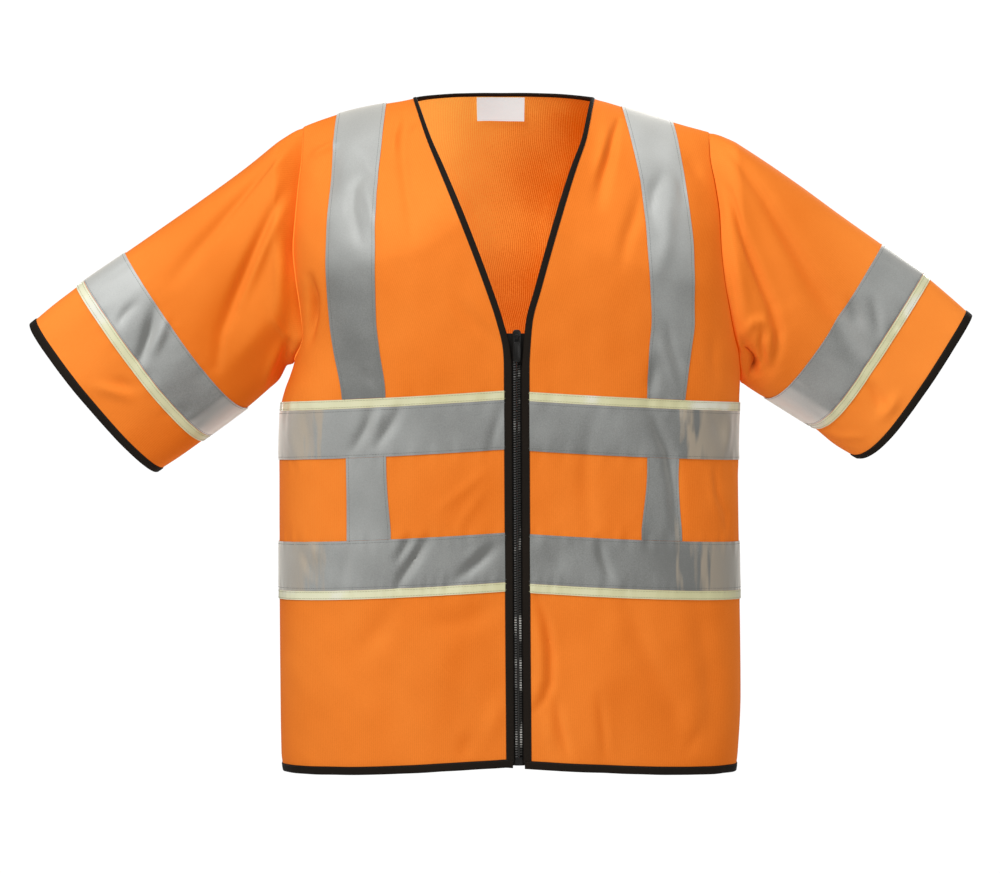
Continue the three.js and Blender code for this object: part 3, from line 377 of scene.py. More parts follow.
CREASES = {
    "sleeve_front": creases(
        # right sleeve
        (5, -5.1, 1.8, (-225, -50), (-262, -96), (-291, -129), (-318, -160), (-342, -191)),
        (4, 2.4, 1, (-220, -53), (-269, -111), (-289, -133)),
        (6, -5.4, 1, (-226, -100), (-240, -123), (-254, -154), (-267, -184),
         (-281, -216), (-293, -246), (-298, -280)),
        (6, 3.4, 1, (-220, -111), (-236, -133), (-248, -160), (-260, -188), (-273, -216)),
        (9, 5.1, 1, (-228, -139), (-229, -174), (-231, -213), (-234, -244)),
        (5, -3.4, 1, (-224, -147), (-219, -174), (-214, -203)),
        (3, 2, 1, (-239, -232), (-228, -246), (-214, -255)),
        (5, 5.1, 1, (-228, -250), (-242, -281), (-254, -313)),
        (5, -5.1, 1, (-219, -252), (-236, -283), (-249, -309)),
        (5, 3.4, 1, (-424, -301), (-404, -307), (-388, -312)),
        (5, -2.5, 1, (-404, -295), (-383, -303)),
        (4, -2.5, 1, (-381, -215), (-392, -225), (-399, -236)),
        (5, -5.1, 1, (-362, -221), (-368, -249), (-377, -275)),
        (4, 3.4, 1, (-349, -232), (-355, -249), (-363, -266)),
        # left sleeve
        (8, -15, 1.3, (238, -262), (247, -274), (258, -288)),
        (4, -6.8, 1.5, (212, -82), (228, -102), (244, -148), (260, -187),
         (273, -218), (280, -246), (279, -266), (275, -281)),
        (6, 2.5, 1, (221, -126), (233, -167), (242, -203), (247, -229)),
        (5, -7.6, 2.6, (221, -50), (242, -73), (266, -107), (293, -155),
         (316, -193), (338, -225), (355, -254), (369, -281)),
        (5, 4.2, 1, (245, -246), (253, -236), (263, -235), (271, -246), (274, -264)),
        (4, -4.2, 1, (264, -242), (262, -259), (265, -277), (271, -287)),
        (9, -17, 1, (242, -264), (248, -281), (256, -297)),
        (3, 3.4, 1, (237, -257), (250, -266), (263, -278)),
        (4, -5.1, 1, (219, -116), (223, -157), (229, -198), (236, -239)),
        (5, -2.5, 1, (353, -211), (359, -223), (365, -238)),
        (4, -2, 1, (377, -211), (382, -229), (385, -246)),
        (6, 4.2, 1, (387, -334), (397, -322), (403, -312)),
        (5, -3.4, 1, (375, -295), (384, -312), (393, -327)),
        (4, 2.5, 1, (324, -346), (347, -353), (369, -353)),
    ),
    "front": creases(
        # right front, from the shoulder down
        (4, 2, 1, (-109, -25), (-114, -45), (-115, -65)),
        (6, -2.5, 1, (-104, -23), (-106, -55), (-104, -85), (-98, -121), (-95, -151)),
        (4, 1.4, 1, (-88, -33), (-96, -43)),
        (4, 2.5, 1, (-202, -64), (-189, -58), (-174, -49)),
        (9, -2.7, 1, (-174, -53), (-179, -80), (-181, -111)),
        (5, -8.5, 1, (-200, -192), (-197, -211), (-198, -231), (-202, -254)),
        (7, 1.4, 1, (-44, -201), (-26, -226), (-9, -246)),
        (6, -1.2, 1, (-54, -216), (-30, -242), (-8, -261)),
        (5, -1.9, 1, (-142, -85), (-154, -101), (-156, -121), (-150, -141), (-147, -156)),
        (5, 1.7, 1, (-143, -98), (-137, -121), (-129, -151)),
        (5, -1.4, 1, (-149, -65), (-139, -80), (-129, -98)),
        (4, -1.7, 1, (-145, -282), (-135, -302)),
        (5, -3.7, 1, (-134, -322), (-141, -342), (-155, -367)),
        (4, 2, 1, (-126, -326), (-132, -347)),
        (5, -3.4, 1, (-106, -322), (-117, -342), (-131, -363)),
        (5, -2.5, 1, (-205, -326), (-201, -352), (-202, -373)),
        (5, 2.5, 1, (-217, -326), (-219, -352), (-215, -373)),
        (4, -1.7, 1, (-6, -326), (-12, -349), (-16, -367)),
        (5, 1, 1, (-20, -387), (-46, -409), (-68, -427)),
        (5, 1, 1, (-22, -407), (-40, -432), (-50, -447)),
        (4, -3.4, 1, (-97, -455), (-106, -471), (-111, -480)),
        (4, 2.5, 1, (-90, -460), (-101, -479)),
        (5, -5.1, 1, (-80, -456), (-95, -479), (-110, -504)),
        (6, -3.4, 1, (-9, -461), (-28, -479), (-51, -498)),
        (5, 1.7, 1, (-21, -461), (-44, -483)),
        (3.5, 2.5, 1, (-196, -462), (-191, -480)),
        (4, -2.4, 1, (-207, -469), (-201, -483), (-195, -495)),
        (4, -2, 1, (-185, -462), (-181, -477), (-174, -495)),
        (6, -2.7, 1, (-161, -467), (-165, -505)),
        (12, -2, 1, (-109, -515), (-127, -547), (-149, -573)),
        (12, -1.7, 1, (-3, -519), (-36, -537), (-77, -543)),
        (9, 1.7, 1, (-6, -618), (-18, -660)),
        (8, -1.7, 1, (-35, -651), (-44, -678)),
        # left front, from the shoulder down
        (3.5, -5.4, 2.4, (116, -27), (111, -43), (106, -65), (98, -91), (94, -116)),
        (5, 1.7, 1, (104, -35), (97, -65), (90, -95)),
        (7, -3.1, 1, (137, -104), (131, -128), (122, -152), (116, -178)),
        (5, -2.2, 1, (159, -85), (150, -104), (146, -124), (149, -138)),
        (7, 2, 1, (171, -95), (165, -126), (163, -156), (154, -186)),
        (4, -1.7, 1, (177, -87), (181, -116)),
        (4, -1.7, 1, (163, -241), (167, -261), (175, -281)),
        (4, 1.7, 1, (154, -256), (163, -276), (171, -301)),
        (6, -2.5, 1, (150, -278), (146, -310)),
        (7, -2, 1, (185, -65), (193, -75), (201, -87)),
        (6, -2, 1, (211, -254), (211, -276), (214, -298)),
        (9, -2.2, 1, (87, -320), (82, -357), (80, -397), (84, -444)),
        (3, -2.5, 1, (213, -383), (217, -412), (226, -432), (226, -449)),
        (4, 1.7, 1, (207, -390), (210, -417), (218, -439)),
        (7, -5.1, 1, (144, -322), (154, -347), (165, -369), (171, -407), (173, -449)),
        (4, 2, 1, (179, -326), (187, -345)),
        (6, -2, 1, (212, -326), (217, -357)),
        (4, 2.5, 1, (228, -328), (224, -369)),
        (5, -4.2, 1, (93, -455), (97, -475), (107, -499)),
        (9, -1.4, 1, (50, -463), (54, -491)),
        (7, 3.4, 1, (30, -529), (35, -568), (35, -598), (30, -620)),
        (4.5, -3.7, 1, (32, -515), (41, -542), (45, -573), (45, -600), (39, -617), (30, -628)),
        (4.5, -2.5, 1, (51, -620), (55, -646), (63, -676)),
        (6, 1.7, 1, (41, -632), (47, -665)),
        (5, -2.2, 1, (94, -616), (98, -646), (101, -676)),
        (11, -3.7, 1, (116, -515), (134, -552), (149, -588), (169, -623), (177, -655)),
        (12, -3.7, 1, (188, -515), (199, -547), (207, -588), (209, -628), (203, -665)),
        (6, -1.7, 1, (197, -651), (185, -675)),
    ),
    "sleeve_back": creases(
        (6, -7.4, 1.7, (-240, -70), (-262, -112), (-296, -160), (-330, -196)),
        (6, 4.9, 1, (-228, -130), (-250, -190), (-276, -246)),
        (5, -7.4, 1, (-224, -165), (-238, -220), (-262, -272)),
        (5, -4.9, 1, (-380, -180), (-372, -215), (-360, -248)),
        (5, -8.7, 1.9, (236, -76), (256, -118), (284, -170), (306, -226)),
        (5, -7.4, 1, (226, -140), (240, -196), (258, -262)),
        (6, 4.9, 1, (238, -206), (252, -250), (266, -284)),
        (5, -4.9, 1, (386, -176), (376, -214), (366, -246)),
    ),
    "back": creases(
        (5, -6.1, 2.2, (-196, -80), (-176, -120), (-160, -176), (-152, -240)),
        (6, -4.9, 2, (192, -84), (170, -132), (158, -190)),
        (6, 3.6, 1, (-206, -150), (-196, -200), (-192, -250)),
        (5, -9.9, 1, (-204, -190), (-206, -230), (-200, -266)),
        (5, -7.4, 1, (208, -210), (212, -250), (206, -284)),
        (8, -3.6, 1, (-60, -60), (-30, -110), (-18, -180)),
        (9, -3.6, 1, (70, -56), (48, -120), (40, -200)),
        (5, -4.9, 1, (-120, -330), (-132, -366), (-150, -390)),
        (5, -4.9, 1, (90, -326), (100, -350), (122, -380)),
        (6, -3.9, 1, (30, -460), (20, -500), (-2, -520)),
        (5, -4.9, 1, (-180, -456), (-172, -490), (-176, -512)),
        (5, -4.5, 1, (168, -460), (160, -486), (166, -514)),
        (11, -5.4, 1, (-150, -530), (-128, -590), (-122, -650), (-130, -694)),
        (10, -4.9, 1, (40, -532), (24, -590), (18, -650), (26, -694)),
        (11, -5.4, 1, (150, -528), (166, -590), (160, -650), (150, -694)),
        (6, 2.9, 1, (-60, -640), (-64, -692)),
        (6, -3.2, 1, (98, -640), (94, -692)),
    ),
}


def lifts(folds: Sequence[Union[Fold, Crease]], x: np.ndarray, z: np.ndarray) -> np.ndarray:
    """How far all folds of one part lift the cloth at places seen from in front."""
    total = np.zeros(np.broadcast(x, z).shape)
    for fold in folds:
        total = total + fold.lift(x, z)
    return total


@dataclass(frozen=True)
class Ripple:
    """Uneven small waves in cloth, the same each run: a few plane waves in random directions."""

    seed: int
    length: float
    direction: float = 0.0
    spread: float = 0.6
    waves: int = 7

    def at(self, across: np.ndarray, along: np.ndarray) -> np.ndarray:
        """The waves' height, mostly from -1 to 1, at places on the cloth."""
        random = np.random.default_rng(self.seed)
        total = np.zeros(np.broadcast(across, along).shape)
        for _ in range(self.waves):
            angle = self.direction + random.normal(0, self.spread)
            turns = 2 * np.pi / (self.length * random.uniform(0.6, 1.7))
            phase = random.uniform(0, 2 * np.pi)
            total += np.sin(turns * (across * np.cos(angle) + along * np.sin(angle)) + phase)
        return total / math.sqrt(self.waves)


# ---------------------------------------------------------------- form


@dataclass(frozen=True)
class TorsoForm:
    """The filled-out body: a superellipse at each height, closed by rounded shoulders."""

    section_power: float = 2.7
    shoulder_power: float = 1.5
    front_drop: float = 170.0
    back_drop: float = 150.0
    front_arch: float = 11.0
    back_arch: float = 4.0
    seam: float = 0.15

    def by_side(self, table: Table, name: str, sign: np.ndarray, place: Numbers) -> np.ndarray:
        """Reads the right or left column of a table, by the sign of each place."""
        return np.where(sign < 0, table.at(f"right{name}", place), table.at(f"left{name}", place))

    def half_width(self, z: Numbers, sign: np.ndarray) -> np.ndarray:
        """Half the width of the form at a height."""
        return self.by_side(SECTIONS, "", sign, z)

    def shoulder_height(self, x: np.ndarray) -> np.ndarray:
        """Height of the shoulder line."""
        return self.by_side(SHOULDER_LINE, "", np.sign(x), np.abs(x))

    def zip_x(self, z: Numbers) -> np.ndarray:
        """Where the closed zip hangs."""
        return ZIP_LINE.at("x", z)

    def fold_x(self, z: Numbers, sign: np.ndarray) -> np.ndarray:
        """The fold of a front edge's binding."""
        return self.zip_x(z) + sign * self.by_side(FRONT_EDGE, "", sign, z)

    def neck_x(self, sign: np.ndarray) -> np.ndarray:
        """The side-neck point."""
        return self.fold_x(0.0, sign) + sign * INSET

    def angle_at(self, fraction: np.ndarray) -> np.ndarray:
        """The angle round a superellipse at a fraction of its half width."""
        return np.arccos(np.clip(fraction, 0, 1) ** (self.section_power / 2))

    def depth(self, face: Face, x: np.ndarray, z: np.ndarray) -> np.ndarray:
        """How far the front or back lies from the plane of the side seams."""
        across = np.clip(np.abs(x) / self.half_width(z, np.sign(x)), 0, 1)
        round_off = (1 - across**self.section_power) ** (1 / self.section_power)
        drop = self.front_drop if face is Face.FRONT else self.back_drop
        rise = np.clip((z - self.shoulder_height(x) + drop) / drop, 0, 1)
        close = (1 - rise**self.shoulder_power) ** (1 / self.shoulder_power)
        return round_off * close * (SECTIONS.at(face.word, z) + lifts(BIG_FOLDS[face.word], x, z))

    def level_height(self, face: Face, level: Numbers, x: np.ndarray) -> np.ndarray:
        """Height of a level line, which rises towards the middle."""
        across = np.clip(np.abs(x) / self.half_width(level, np.sign(x)), 0, 1)
        if face is Face.FRONT:
            return level + self.front_arch * (1 - across) ** 1.5
        return level + self.back_arch * (1 - across * across)

    def top(self, face: Face, x: np.ndarray) -> np.ndarray:
        """Top edge of a panel: the shoulder line, and on the back the neckline between its ends."""
        shoulder = self.shoulder_height(x)
        if face is Face.FRONT:
            return shoulder
        point = self.neck_x(np.sign(x))
        away = np.abs(x / point)
        neck = mix(NAPE_RISE - INSET, self.shoulder_height(point), np.clip(away, 0, 1) ** NAPE_POWER)
        return np.where(away >= 1, shoulder, neck)


@dataclass
class Patch:
    """A grid of points on the cloth, rows by columns, with the normals that point outwards.

    outward is roughly the way out at each point, and says only which side is the outer one.
    fold_shade is from 0 to 1 where a fold is so deep that little light gets in, and sets how much shade is
    painted there.
    """

    points: np.ndarray
    outward: np.ndarray
    closed: bool = False
    fold_shade: Optional[np.ndarray] = None
    normals: np.ndarray = field(init=False)
    flipped: bool = field(init=False)

    def __post_init__(self) -> None:
        """Finds the normals."""
        down = np.gradient(self.points, axis=0)
        if self.closed:
            across = (np.roll(self.points, -1, axis=1) - np.roll(self.points, 1, axis=1)) / 2
        else:
            across = np.gradient(self.points, axis=1)
        normals = np.cross(across, down)
        normals /= np.maximum(np.linalg.norm(normals, axis=2, keepdims=True), 1e-9)
        self.flipped = bool((self.outward * normals).sum() < 0)
        self.normals = -normals if self.flipped else normals

    def moved(self, lift: Numbers) -> np.ndarray:
        """The points, moved out along the normals."""
        lift = np.broadcast_to(lift, self.points.shape[:2])
        return self.points + self.normals * lift[:, :, None]

    def creased(self, relief: np.ndarray) -> "Patch":
        """A patch moved out by the relief of its folds, the deepest of them marked for painted shade."""
        fold_shade = np.clip((-relief - FOLD_SHADE_FROM) / FOLD_SHADE_OVER, 0, 1)
        return Patch(self.moved(relief), self.outward, self.closed, fold_shade)

    def whole(self) -> np.ndarray:
        """The points, with the first column again at the end if the patch is closed."""
        return np.concatenate([self.points, self.points[:, :1]], axis=1) if self.closed else self.points

    def lengths(self) -> np.ndarray:
        """How far each point is along its row and its column, for a pattern on the cloth."""
        points = self.whole()
        across = np.linalg.norm(np.diff(points, axis=1), axis=2)
        across = np.concatenate([np.zeros((len(points), 1)), across.cumsum(axis=1)], axis=1)
        down = np.linalg.norm(np.diff(points, axis=0), axis=2)
        down = np.concatenate([np.zeros((1, points.shape[1])), down.cumsum(axis=0)], axis=0)
        return np.stack([across, down], axis=2)


def as_grids(columns: np.ndarray, rows: np.ndarray) -> tuple[np.ndarray, np.ndarray]:
    """Columns and rows as two grids of one shape."""
    columns, rows = np.asarray(columns, dtype=float), np.asarray(rows, dtype=float)
    return tuple(np.broadcast_arrays(columns, rows[:, None] if rows.ndim == 1 else rows))


TORSO_MIDDLE = np.array((0.0, 0.0, -350.0))


class Panel:
    """The front of one side, or the whole back, as a map from the cut cloth to the form.

    A column is 0 at the cut front edge (or the back's middle), 1 at the binding's other edge (or
    the side-neck point), 2 and 3 at the edges of the shoulder tape, and 4 at the side seam and
    armhole. On the back it is negative on the wearer's right. A row is 0 at the hem, 1 at the
    underarm and 2 at the shoulder line.
    """

    underarm_rise = 0.06  # how much of the rise the round bottom of the armhole takes
    passes = 12  # how often a point's height and x are worked out from each other
    middle_depth = 120.0  # about how deep the form is in the middle
    slow_wave, quick_wave = 0.7, 0.25
    side_fade = 0.6  # the share of the last column where creases fade
    pucker_near = 11.0
    hem_wave, hem_near = 0.5, 14.0
    seam_pull, seam_near = 0.9, 0.025

    def __init__(self, form: TorsoForm, face: Face, side: Optional[Side] = None) -> None:
        """Keeps what the panel is.

        Args:
            form: The body's form.
            face: Front or back.
            side: The side, on a front.
        """
        self.form, self.face, self.side = form, face, side

    def sign(self, column: np.ndarray) -> np.ndarray:
        """The sign of x at columns."""
        if self.side is not None:
            return np.full(np.shape(column), self.side.value)
        return np.where(np.asarray(column) < 0, -1, 1)

    def underarm(self, column: np.ndarray) -> np.ndarray:
        """Level of the underarm row."""
        if self.side is not None:
            return np.full(np.shape(column), UNDERARM_Z[self.side.value])
        return mix(UNDERARM_Z[-1], UNDERARM_Z[1], smooth((np.asarray(column) + 3) / 6))

    def row_at(self, level: float, column: np.ndarray) -> np.ndarray:
        """The row of a level line below the underarm."""
        low = HEM_Z + INSET
        return (level - low) / (self.underarm(column) - low)

    def column_x(self, column: np.ndarray, z: np.ndarray, rise: np.ndarray) -> np.ndarray:
        """Where a column is at a height."""
        form, sign, place = self.form, self.sign(column), np.abs(column)
        tape = [sign * form.by_side(SHOULDER_TAPE, edge, sign, z) for edge in ("_in", "_out")]
        if self.face is Face.FRONT:
            fold = form.fold_x(z, sign)
            marks = [fold + sign * INSET, fold + sign * FRONT_EDGE.at("wide", z), *tape]
        else:
            marks = [np.zeros_like(z), form.neck_x(sign) + np.zeros_like(z), *tape]
        half = form.half_width(z, sign)
        start = form.angle_at(np.abs(tape[1]) / half)
        edge = form.angle_at(form.by_side(ARMHOLE, "", sign, z) / half)
        edge = edge * np.sin(np.pi / 2 * np.clip(rise / self.underarm_rise, 0, 1))
        turn = mix(start, edge, np.clip(place - 3, 0, 1))
        x = sign * half * np.maximum(0, np.cos(turn)) ** (2 / form.section_power)
        for i in (2, 1, 0):
            x = np.where(place <= i + 1, mix(marks[i], marks[i + 1], place - i), x)
        return x

    def base(self, column: np.ndarray, row: np.ndarray) -> np.ndarray:
        """Points on the smooth form."""
        column, row = np.broadcast_arrays(column, row)
        level = mix(HEM_Z + INSET, self.underarm(column), np.minimum(row, 1))
        rise = np.maximum(row - 1, 0)
        x = self.sign(column) * 200.0
        z = level
        for _ in range(self.passes):
            z = mix(self.form.level_height(self.face, level, x), self.form.top(self.face, x), rise)
            x = self.column_x(column, z, rise)
        depth = np.maximum(self.form.seam, self.form.depth(self.face, x, z))
        return np.stack([x, self.face.value * depth, z], axis=-1)

    def relief(self, points: np.ndarray, column: np.ndarray, row: np.ndarray) -> np.ndarray:
        """How far creases, ripples and pulled seams move the cloth out from the form."""
        x, y, z = points[..., 0], np.abs(points[..., 1]), points[..., 2]
        round_it = np.sign(x) * (np.abs(x) + self.middle_depth - y)
        seed = 11 if self.face is Face.FRONT else 12
        to_side = 4 - np.abs(column)
        away = smooth(to_side / self.side_fade)
        relief = away * lifts(CREASES[self.face.word], x, z)
        slow, quick = Ripple(seed, 130, 0.3, 0.8).at(x, z), Ripple(seed + 1, 45, 0.2).at(x, z)
        relief += away * (self.slow_wave * slow + self.quick_wave * quick)
        for level in (LOW_BAND_Z, LOW_BAND_Z + BAND_WIDTH, HIGH_BAND_Z, HIGH_BAND_Z + BAND_WIDTH):
            near = hill(z - self.form.level_height(self.face, level, x), self.pucker_near)
            relief += PUCKER * near * Ripple(int(-level), PUCKER_LENGTH, 0, 0.3).at(round_it, z)
        hem = Ripple(31 + seed, 60, 0, 0.2).at(round_it, z)
        relief += self.hem_wave * hill(z - HEM_Z, self.hem_near) * hem
        relief -= self.seam_pull * hill(np.clip(to_side, 0, 1), self.seam_near)
        return relief * np.clip((2.02 - row) / 0.08, 0, 1)

    def patch(self, column: np.ndarray, row: np.ndarray) -> Patch:
        """A patch of the panel.

        Args:
            column: The columns, as a list or a grid.
            row: The rows, as a list or a grid.

        Returns:
            The patch, rows by columns.
        """
        column, row = as_grids(column, row)
        points = self.base(column, row)
        return Patch(points, points - TORSO_MIDDLE).creased(self.relief(points, column, row))


class SleeveForm:
    """A sleeve as a map from the cut cloth.

    way is 0 at the shoulder, a quarter at the front and a half under the arm. ring is -1 at the
    armhole seam and 8 at the hem.
    """

    squareness = 0.8
    girth = 520.0
    slow_wave = 0.8
    pucker_near = 0.35
    hem_wave, hem_near = 0.5, 0.7
    seam_pull, seam_near = 1.1, 0.12
    puff, puff_ring, puff_near = 0.7, -0.62, 0.3

    def __init__(self, side: Side, front: Panel, back: Panel) -> None:
        """Takes the armhole seam from the panels."""
        self.side = side
        rise = 1 + eased(160)
        down = front.base(np.array(4.0), rise[::-1])
        up = back.base(np.array(4.0 * side.value), rise)
        down[-1, 1] = up[0, 1] = down[0, 1] = up[-1, 1] = 0
        ways = []
        for points, start in ((down, 0.0), (up, 0.5)):
            run = np.concatenate([[0], np.linalg.norm(np.diff(points, axis=0), axis=1).cumsum()])
            ways.append(start + 0.5 * run / run[-1])
        self.seam_ways = np.concatenate([ways[0], ways[1][1:]])
        self.seam_points = np.concatenate([down, up[1:]])
        self.middle = np.array((290.0 * side.value, 0.0, -200.0))

    def seam(self, way: np.ndarray) -> np.ndarray:
        """The armhole seam."""
        sides = [np.interp(way, self.seam_ways, self.seam_points[:, k]) for k in range(3)]
        return np.stack(sides, axis=-1)

    def from_top(self, way: np.ndarray) -> np.ndarray:
        """How far it is from the shoulder, in front or behind: 1 is under the arm."""
        return np.where(way < 0.5, 2 * way, 2 - 2 * way)

    def ring_points(self, way: np.ndarray, ring: np.ndarray) -> np.ndarray:
        """Points on the rings, with the largest folds."""
        table, sign = SLEEVE_RINGS[self.side.word], self.side.value
        at = {name: table.at(name, ring) for name in table.names}
        top = np.stack([sign * at["top_x"], at["back"], at["top_z"]], axis=-1)
        low = np.stack([sign * at["low_x"], at["back"], at["low_z"]], axis=-1)
        down = low - top
        along = np.stack([sign * -down[..., 2], np.zeros_like(at["sag"]), sign * down[..., 0]], axis=-1)
        along /= np.linalg.norm(along, axis=-1, keepdims=True)
        angle = 2 * np.pi * way
        half = self.from_top(way)
        points = top + down * ((1 - np.cos(angle)) / 2)[..., None]
        side_on = np.sign(np.sin(angle))
        points[..., 1] -= at["deep"] * side_on * np.abs(np.sin(angle)) ** self.squareness
        points += along * (at["sag"] * np.sin(np.pi * np.clip(half, 0, 1) ** at["low"]))[..., None]
        lift = lifts(BIG_FOLDS["sleeve"], points[..., 0], points[..., 2]) * np.sin(np.pi * half)
        points[..., 1] -= lift * side_on
        return points

    def base(self, way: np.ndarray, ring: np.ndarray) -> np.ndarray:
        """Points on the smooth form, drawn from the seam into the first ring."""
        on_rings = self.ring_points(way, np.maximum(ring, 0))
        seam, first = self.seam(way), self.ring_points(way, np.zeros_like(ring))
        second = self.ring_points(way, np.full_like(ring, 0.5))
        span = np.linalg.norm(first - seam, axis=-1, keepdims=True)
        onward = second - first
        onward /= np.maximum(np.linalg.norm(onward, axis=-1, keepdims=True), 1e-6)
        s = np.clip(ring + 1, 0, 1)[..., None]
        blend = mix(seam, first, s * s * (3 - 2 * s))
        blend += (first - seam) * (1 - s) ** 2 * s + onward * span * (s - 1) * s * s
        return np.where(ring[..., None] < 0, blend, on_rings)

    def relief(self, points: np.ndarray, way: np.ndarray, ring: np.ndarray) -> np.ndarray:
        """How far creases and ripples move the cloth out from the form."""
        x, z = points[..., 0], points[..., 2]
        front, back = (lifts(CREASES[part], x, z) for part in ("sleeve_front", "sleeve_back"))
        off_fold, off_seam = np.sin(np.pi * self.from_top(way)), smooth((ring + 1) / 0.8)
        relief = np.where(way < 0.5, front, back) * off_fold**0.6 * off_seam
        slow = Ripple(41 + self.side.value, 90, 0.6 * self.side.value).at(x, z)
        relief += off_seam * self.slow_wave * off_fold * slow
        round_it = way * self.girth
        for edge in (TAPE_RING, GLOW_RING, END_RING):
            ripple = Ripple(50 + edge, PUCKER_LENGTH, 0, 0.3).at(round_it, ring * 10)
            relief += PUCKER * hill(ring - edge, self.pucker_near) * off_fold * ripple
        hem = Ripple(61, 45, 0, 0.3).at(round_it, ring)
        relief += self.hem_wave * hill(ring - SLEEVE_HEM_RING, self.hem_near) * off_fold * hem
        relief -= self.seam_pull * hill(ring + 1, self.seam_near)
        return relief + self.puff * hill(ring - self.puff_ring, self.puff_near)

    def patch(self, way: np.ndarray, ring: np.ndarray) -> Patch:
        """A patch right round the sleeve.

        Args:
            way: Places round it.
            ring: The rings, as a list or a grid.

        Returns:
            The patch, closed on itself.
        """
        way, ring = as_grids(way, ring)
        points = self.base(way, ring)
        return Patch(points, points - self.middle, True).creased(self.relief(points, way, ring))


# ---------------------------------------------------------------- meshes


def mesh_object(
    name: str, points: np.ndarray, faces: Sequence[Sequence[int]], uv: Optional[np.ndarray] = None
) -> bpy.types.Object:
    """Makes a mesh object at the origin.

    Args:
        name: The piece's name.
        points: Its points in millimetres.
        faces: The corners of each face.
        uv: A pair for each corner of each face, in metres along the cloth.

    Returns:
        The object, in the scene, with soft shading up to sharp edges.
    """
    mesh = bpy.data.meshes.new(name)
    mesh.from_pydata((points * MM).tolist(), [], faces)
    if uv is not None:
        layer = mesh.uv_layers.new(name="cloth")
        layer.data.foreach_set("uv", np.asarray(uv, dtype=np.float32).ravel())
    mesh.polygons.foreach_set("use_smooth", np.ones(len(mesh.polygons), dtype=bool))
    mesh.update()
    mesh.set_sharp_from_angle(angle=math.radians(50))
    return shown(bpy.data.objects.new(name, mesh))


def shown(obj: bpy.types.Object) -> bpy.types.Object:
    """Puts an object in the scene."""
    bpy.context.scene.collection.objects.link(obj)
    return obj


def shell(name: str, patch: Patch, lift: Numbers, thick: float) -> bpy.types.Object:
    """Makes a thin closed wall of cloth on a patch.

    Args:
        name: The piece's name.
        patch: The grid that it lies on.
        lift: How far its outer face lies out from the patch.
        thick: The wall's thickness, inwards from its outer face.

    Returns:
        The object, its faces marked as inside or not, and its outer points by how much painted shade their
        folds get.
    """
    rows, columns = patch.points.shape[:2]
    layer = rows * columns
    skins = (patch.moved(lift), patch.moved(np.asarray(lift) - thick))
    lengths = patch.lengths() * MM
    wide = lengths.shape[1]
    faces: list[np.ndarray] = []
    corners: list[np.ndarray] = []

    def strip(*loop: tuple[np.ndarray, np.ndarray, int]) -> None:
        """Adds the faces with their corners at these rows, columns and skins."""
        order = loop if patch.flipped else loop[::-1]
        made = [(skin * layer + r * columns + c % columns, r * wide + c) for r, c, skin in order]
        for kept, which in ((faces, 0), (corners, 1)):
            kept.append(np.stack([place[which].ravel() for place in made], axis=1))

    across = np.arange(columns if patch.closed else columns - 1)
    r, c = np.meshgrid(np.arange(rows - 1), across, indexing="ij")
    strip((r, c, 0), (r + 1, c, 0), (r + 1, c + 1, 0), (r, c + 1, 0))
    strip((r, c, 1), (r, c + 1, 1), (r + 1, c + 1, 1), (r + 1, c, 1))
    first = np.zeros_like(across)
    last = first + rows - 1
    strip((first, across, 0), (first, across + 1, 0), (first, across + 1, 1), (first, across, 1))
    strip((last, across, 0), (last, across, 1), (last, across + 1, 1), (last, across + 1, 0))
    if not patch.closed:
        down, start = r[:, 0], np.zeros_like(r[:, 0])
        end = start + columns - 1
        strip((down, start, 0), (down, start, 1), (down + 1, start, 1), (down + 1, start, 0))
        strip((down, end, 0), (down + 1, end, 0), (down + 1, end, 1), (down, end, 1))
    all_faces, all_corners = np.concatenate(faces), np.concatenate(corners)
    points = np.concatenate([skin.reshape(-1, 3) for skin in skins])
    made = mesh_object(name, points, all_faces.tolist(), lengths.reshape(-1, 2)[all_corners.ravel()])
    inside = np.zeros(len(all_faces), dtype=np.int32)
    inside[r.size : 2 * r.size] = 1
    made.data.attributes.new("inside", "INT", "FACE").data.foreach_set("value", inside)
    fold_shade = np.zeros(2 * layer, dtype=np.float32)
    if patch.fold_shade is not None:
        fold_shade[:layer] = patch.fold_shade.ravel()
    made.data.attributes.new("fold_shade", "FLOAT", "POINT").data.foreach_set("value", fold_shade)
    return made


def folded_over(leaf: Patch) -> Patch:
    """The outer face of a binding folded over a cut edge.

    Args:
        leaf: Rows from the binding's far edge to the cut edge, on the cloth's outer face.

    Returns:
        The patch from the far edge, round the fold, to the far edge inside.
    """
    share = np.linspace(0, 1, len(leaf.points))[:, None]
    swell = np.sin(np.pi / 2 * np.clip(share * 2.2, 0, 1))
    heights = BINDING_FLAT + (BINDING_BULGE - BINDING_FLAT) * swell
    outer, inner = leaf.moved(heights), leaf.moved(-CLOTH_THICK - heights)[::-1]
    edge, normal = leaf.points[-1], leaf.normals[-1]
    out = leaf.points[-1] - leaf.points[-2]
    out -= normal * (out * normal).sum(axis=1, keepdims=True)
    out /= np.linalg.norm(out, axis=1, keepdims=True)
    turns = [(math.sin(a), math.cos(a)) for a in np.linspace(0, np.pi, 8)[1:-1]]
    half = CLOTH_THICK / 2
    reach = BINDING_BULGE + half
    fold = [edge + out * INSET * sine + normal * (reach * cosine - half) for sine, cosine in turns]
    outs = [out * sine + normal * cosine for sine, cosine in turns]
    points = np.concatenate([outer, np.array(fold), inner])
    outward = np.concatenate([leaf.normals, np.array(outs), -leaf.normals[::-1]])
    return Patch(points, outward, leaf.closed)


# ---------------------------------------------------------------- nodes


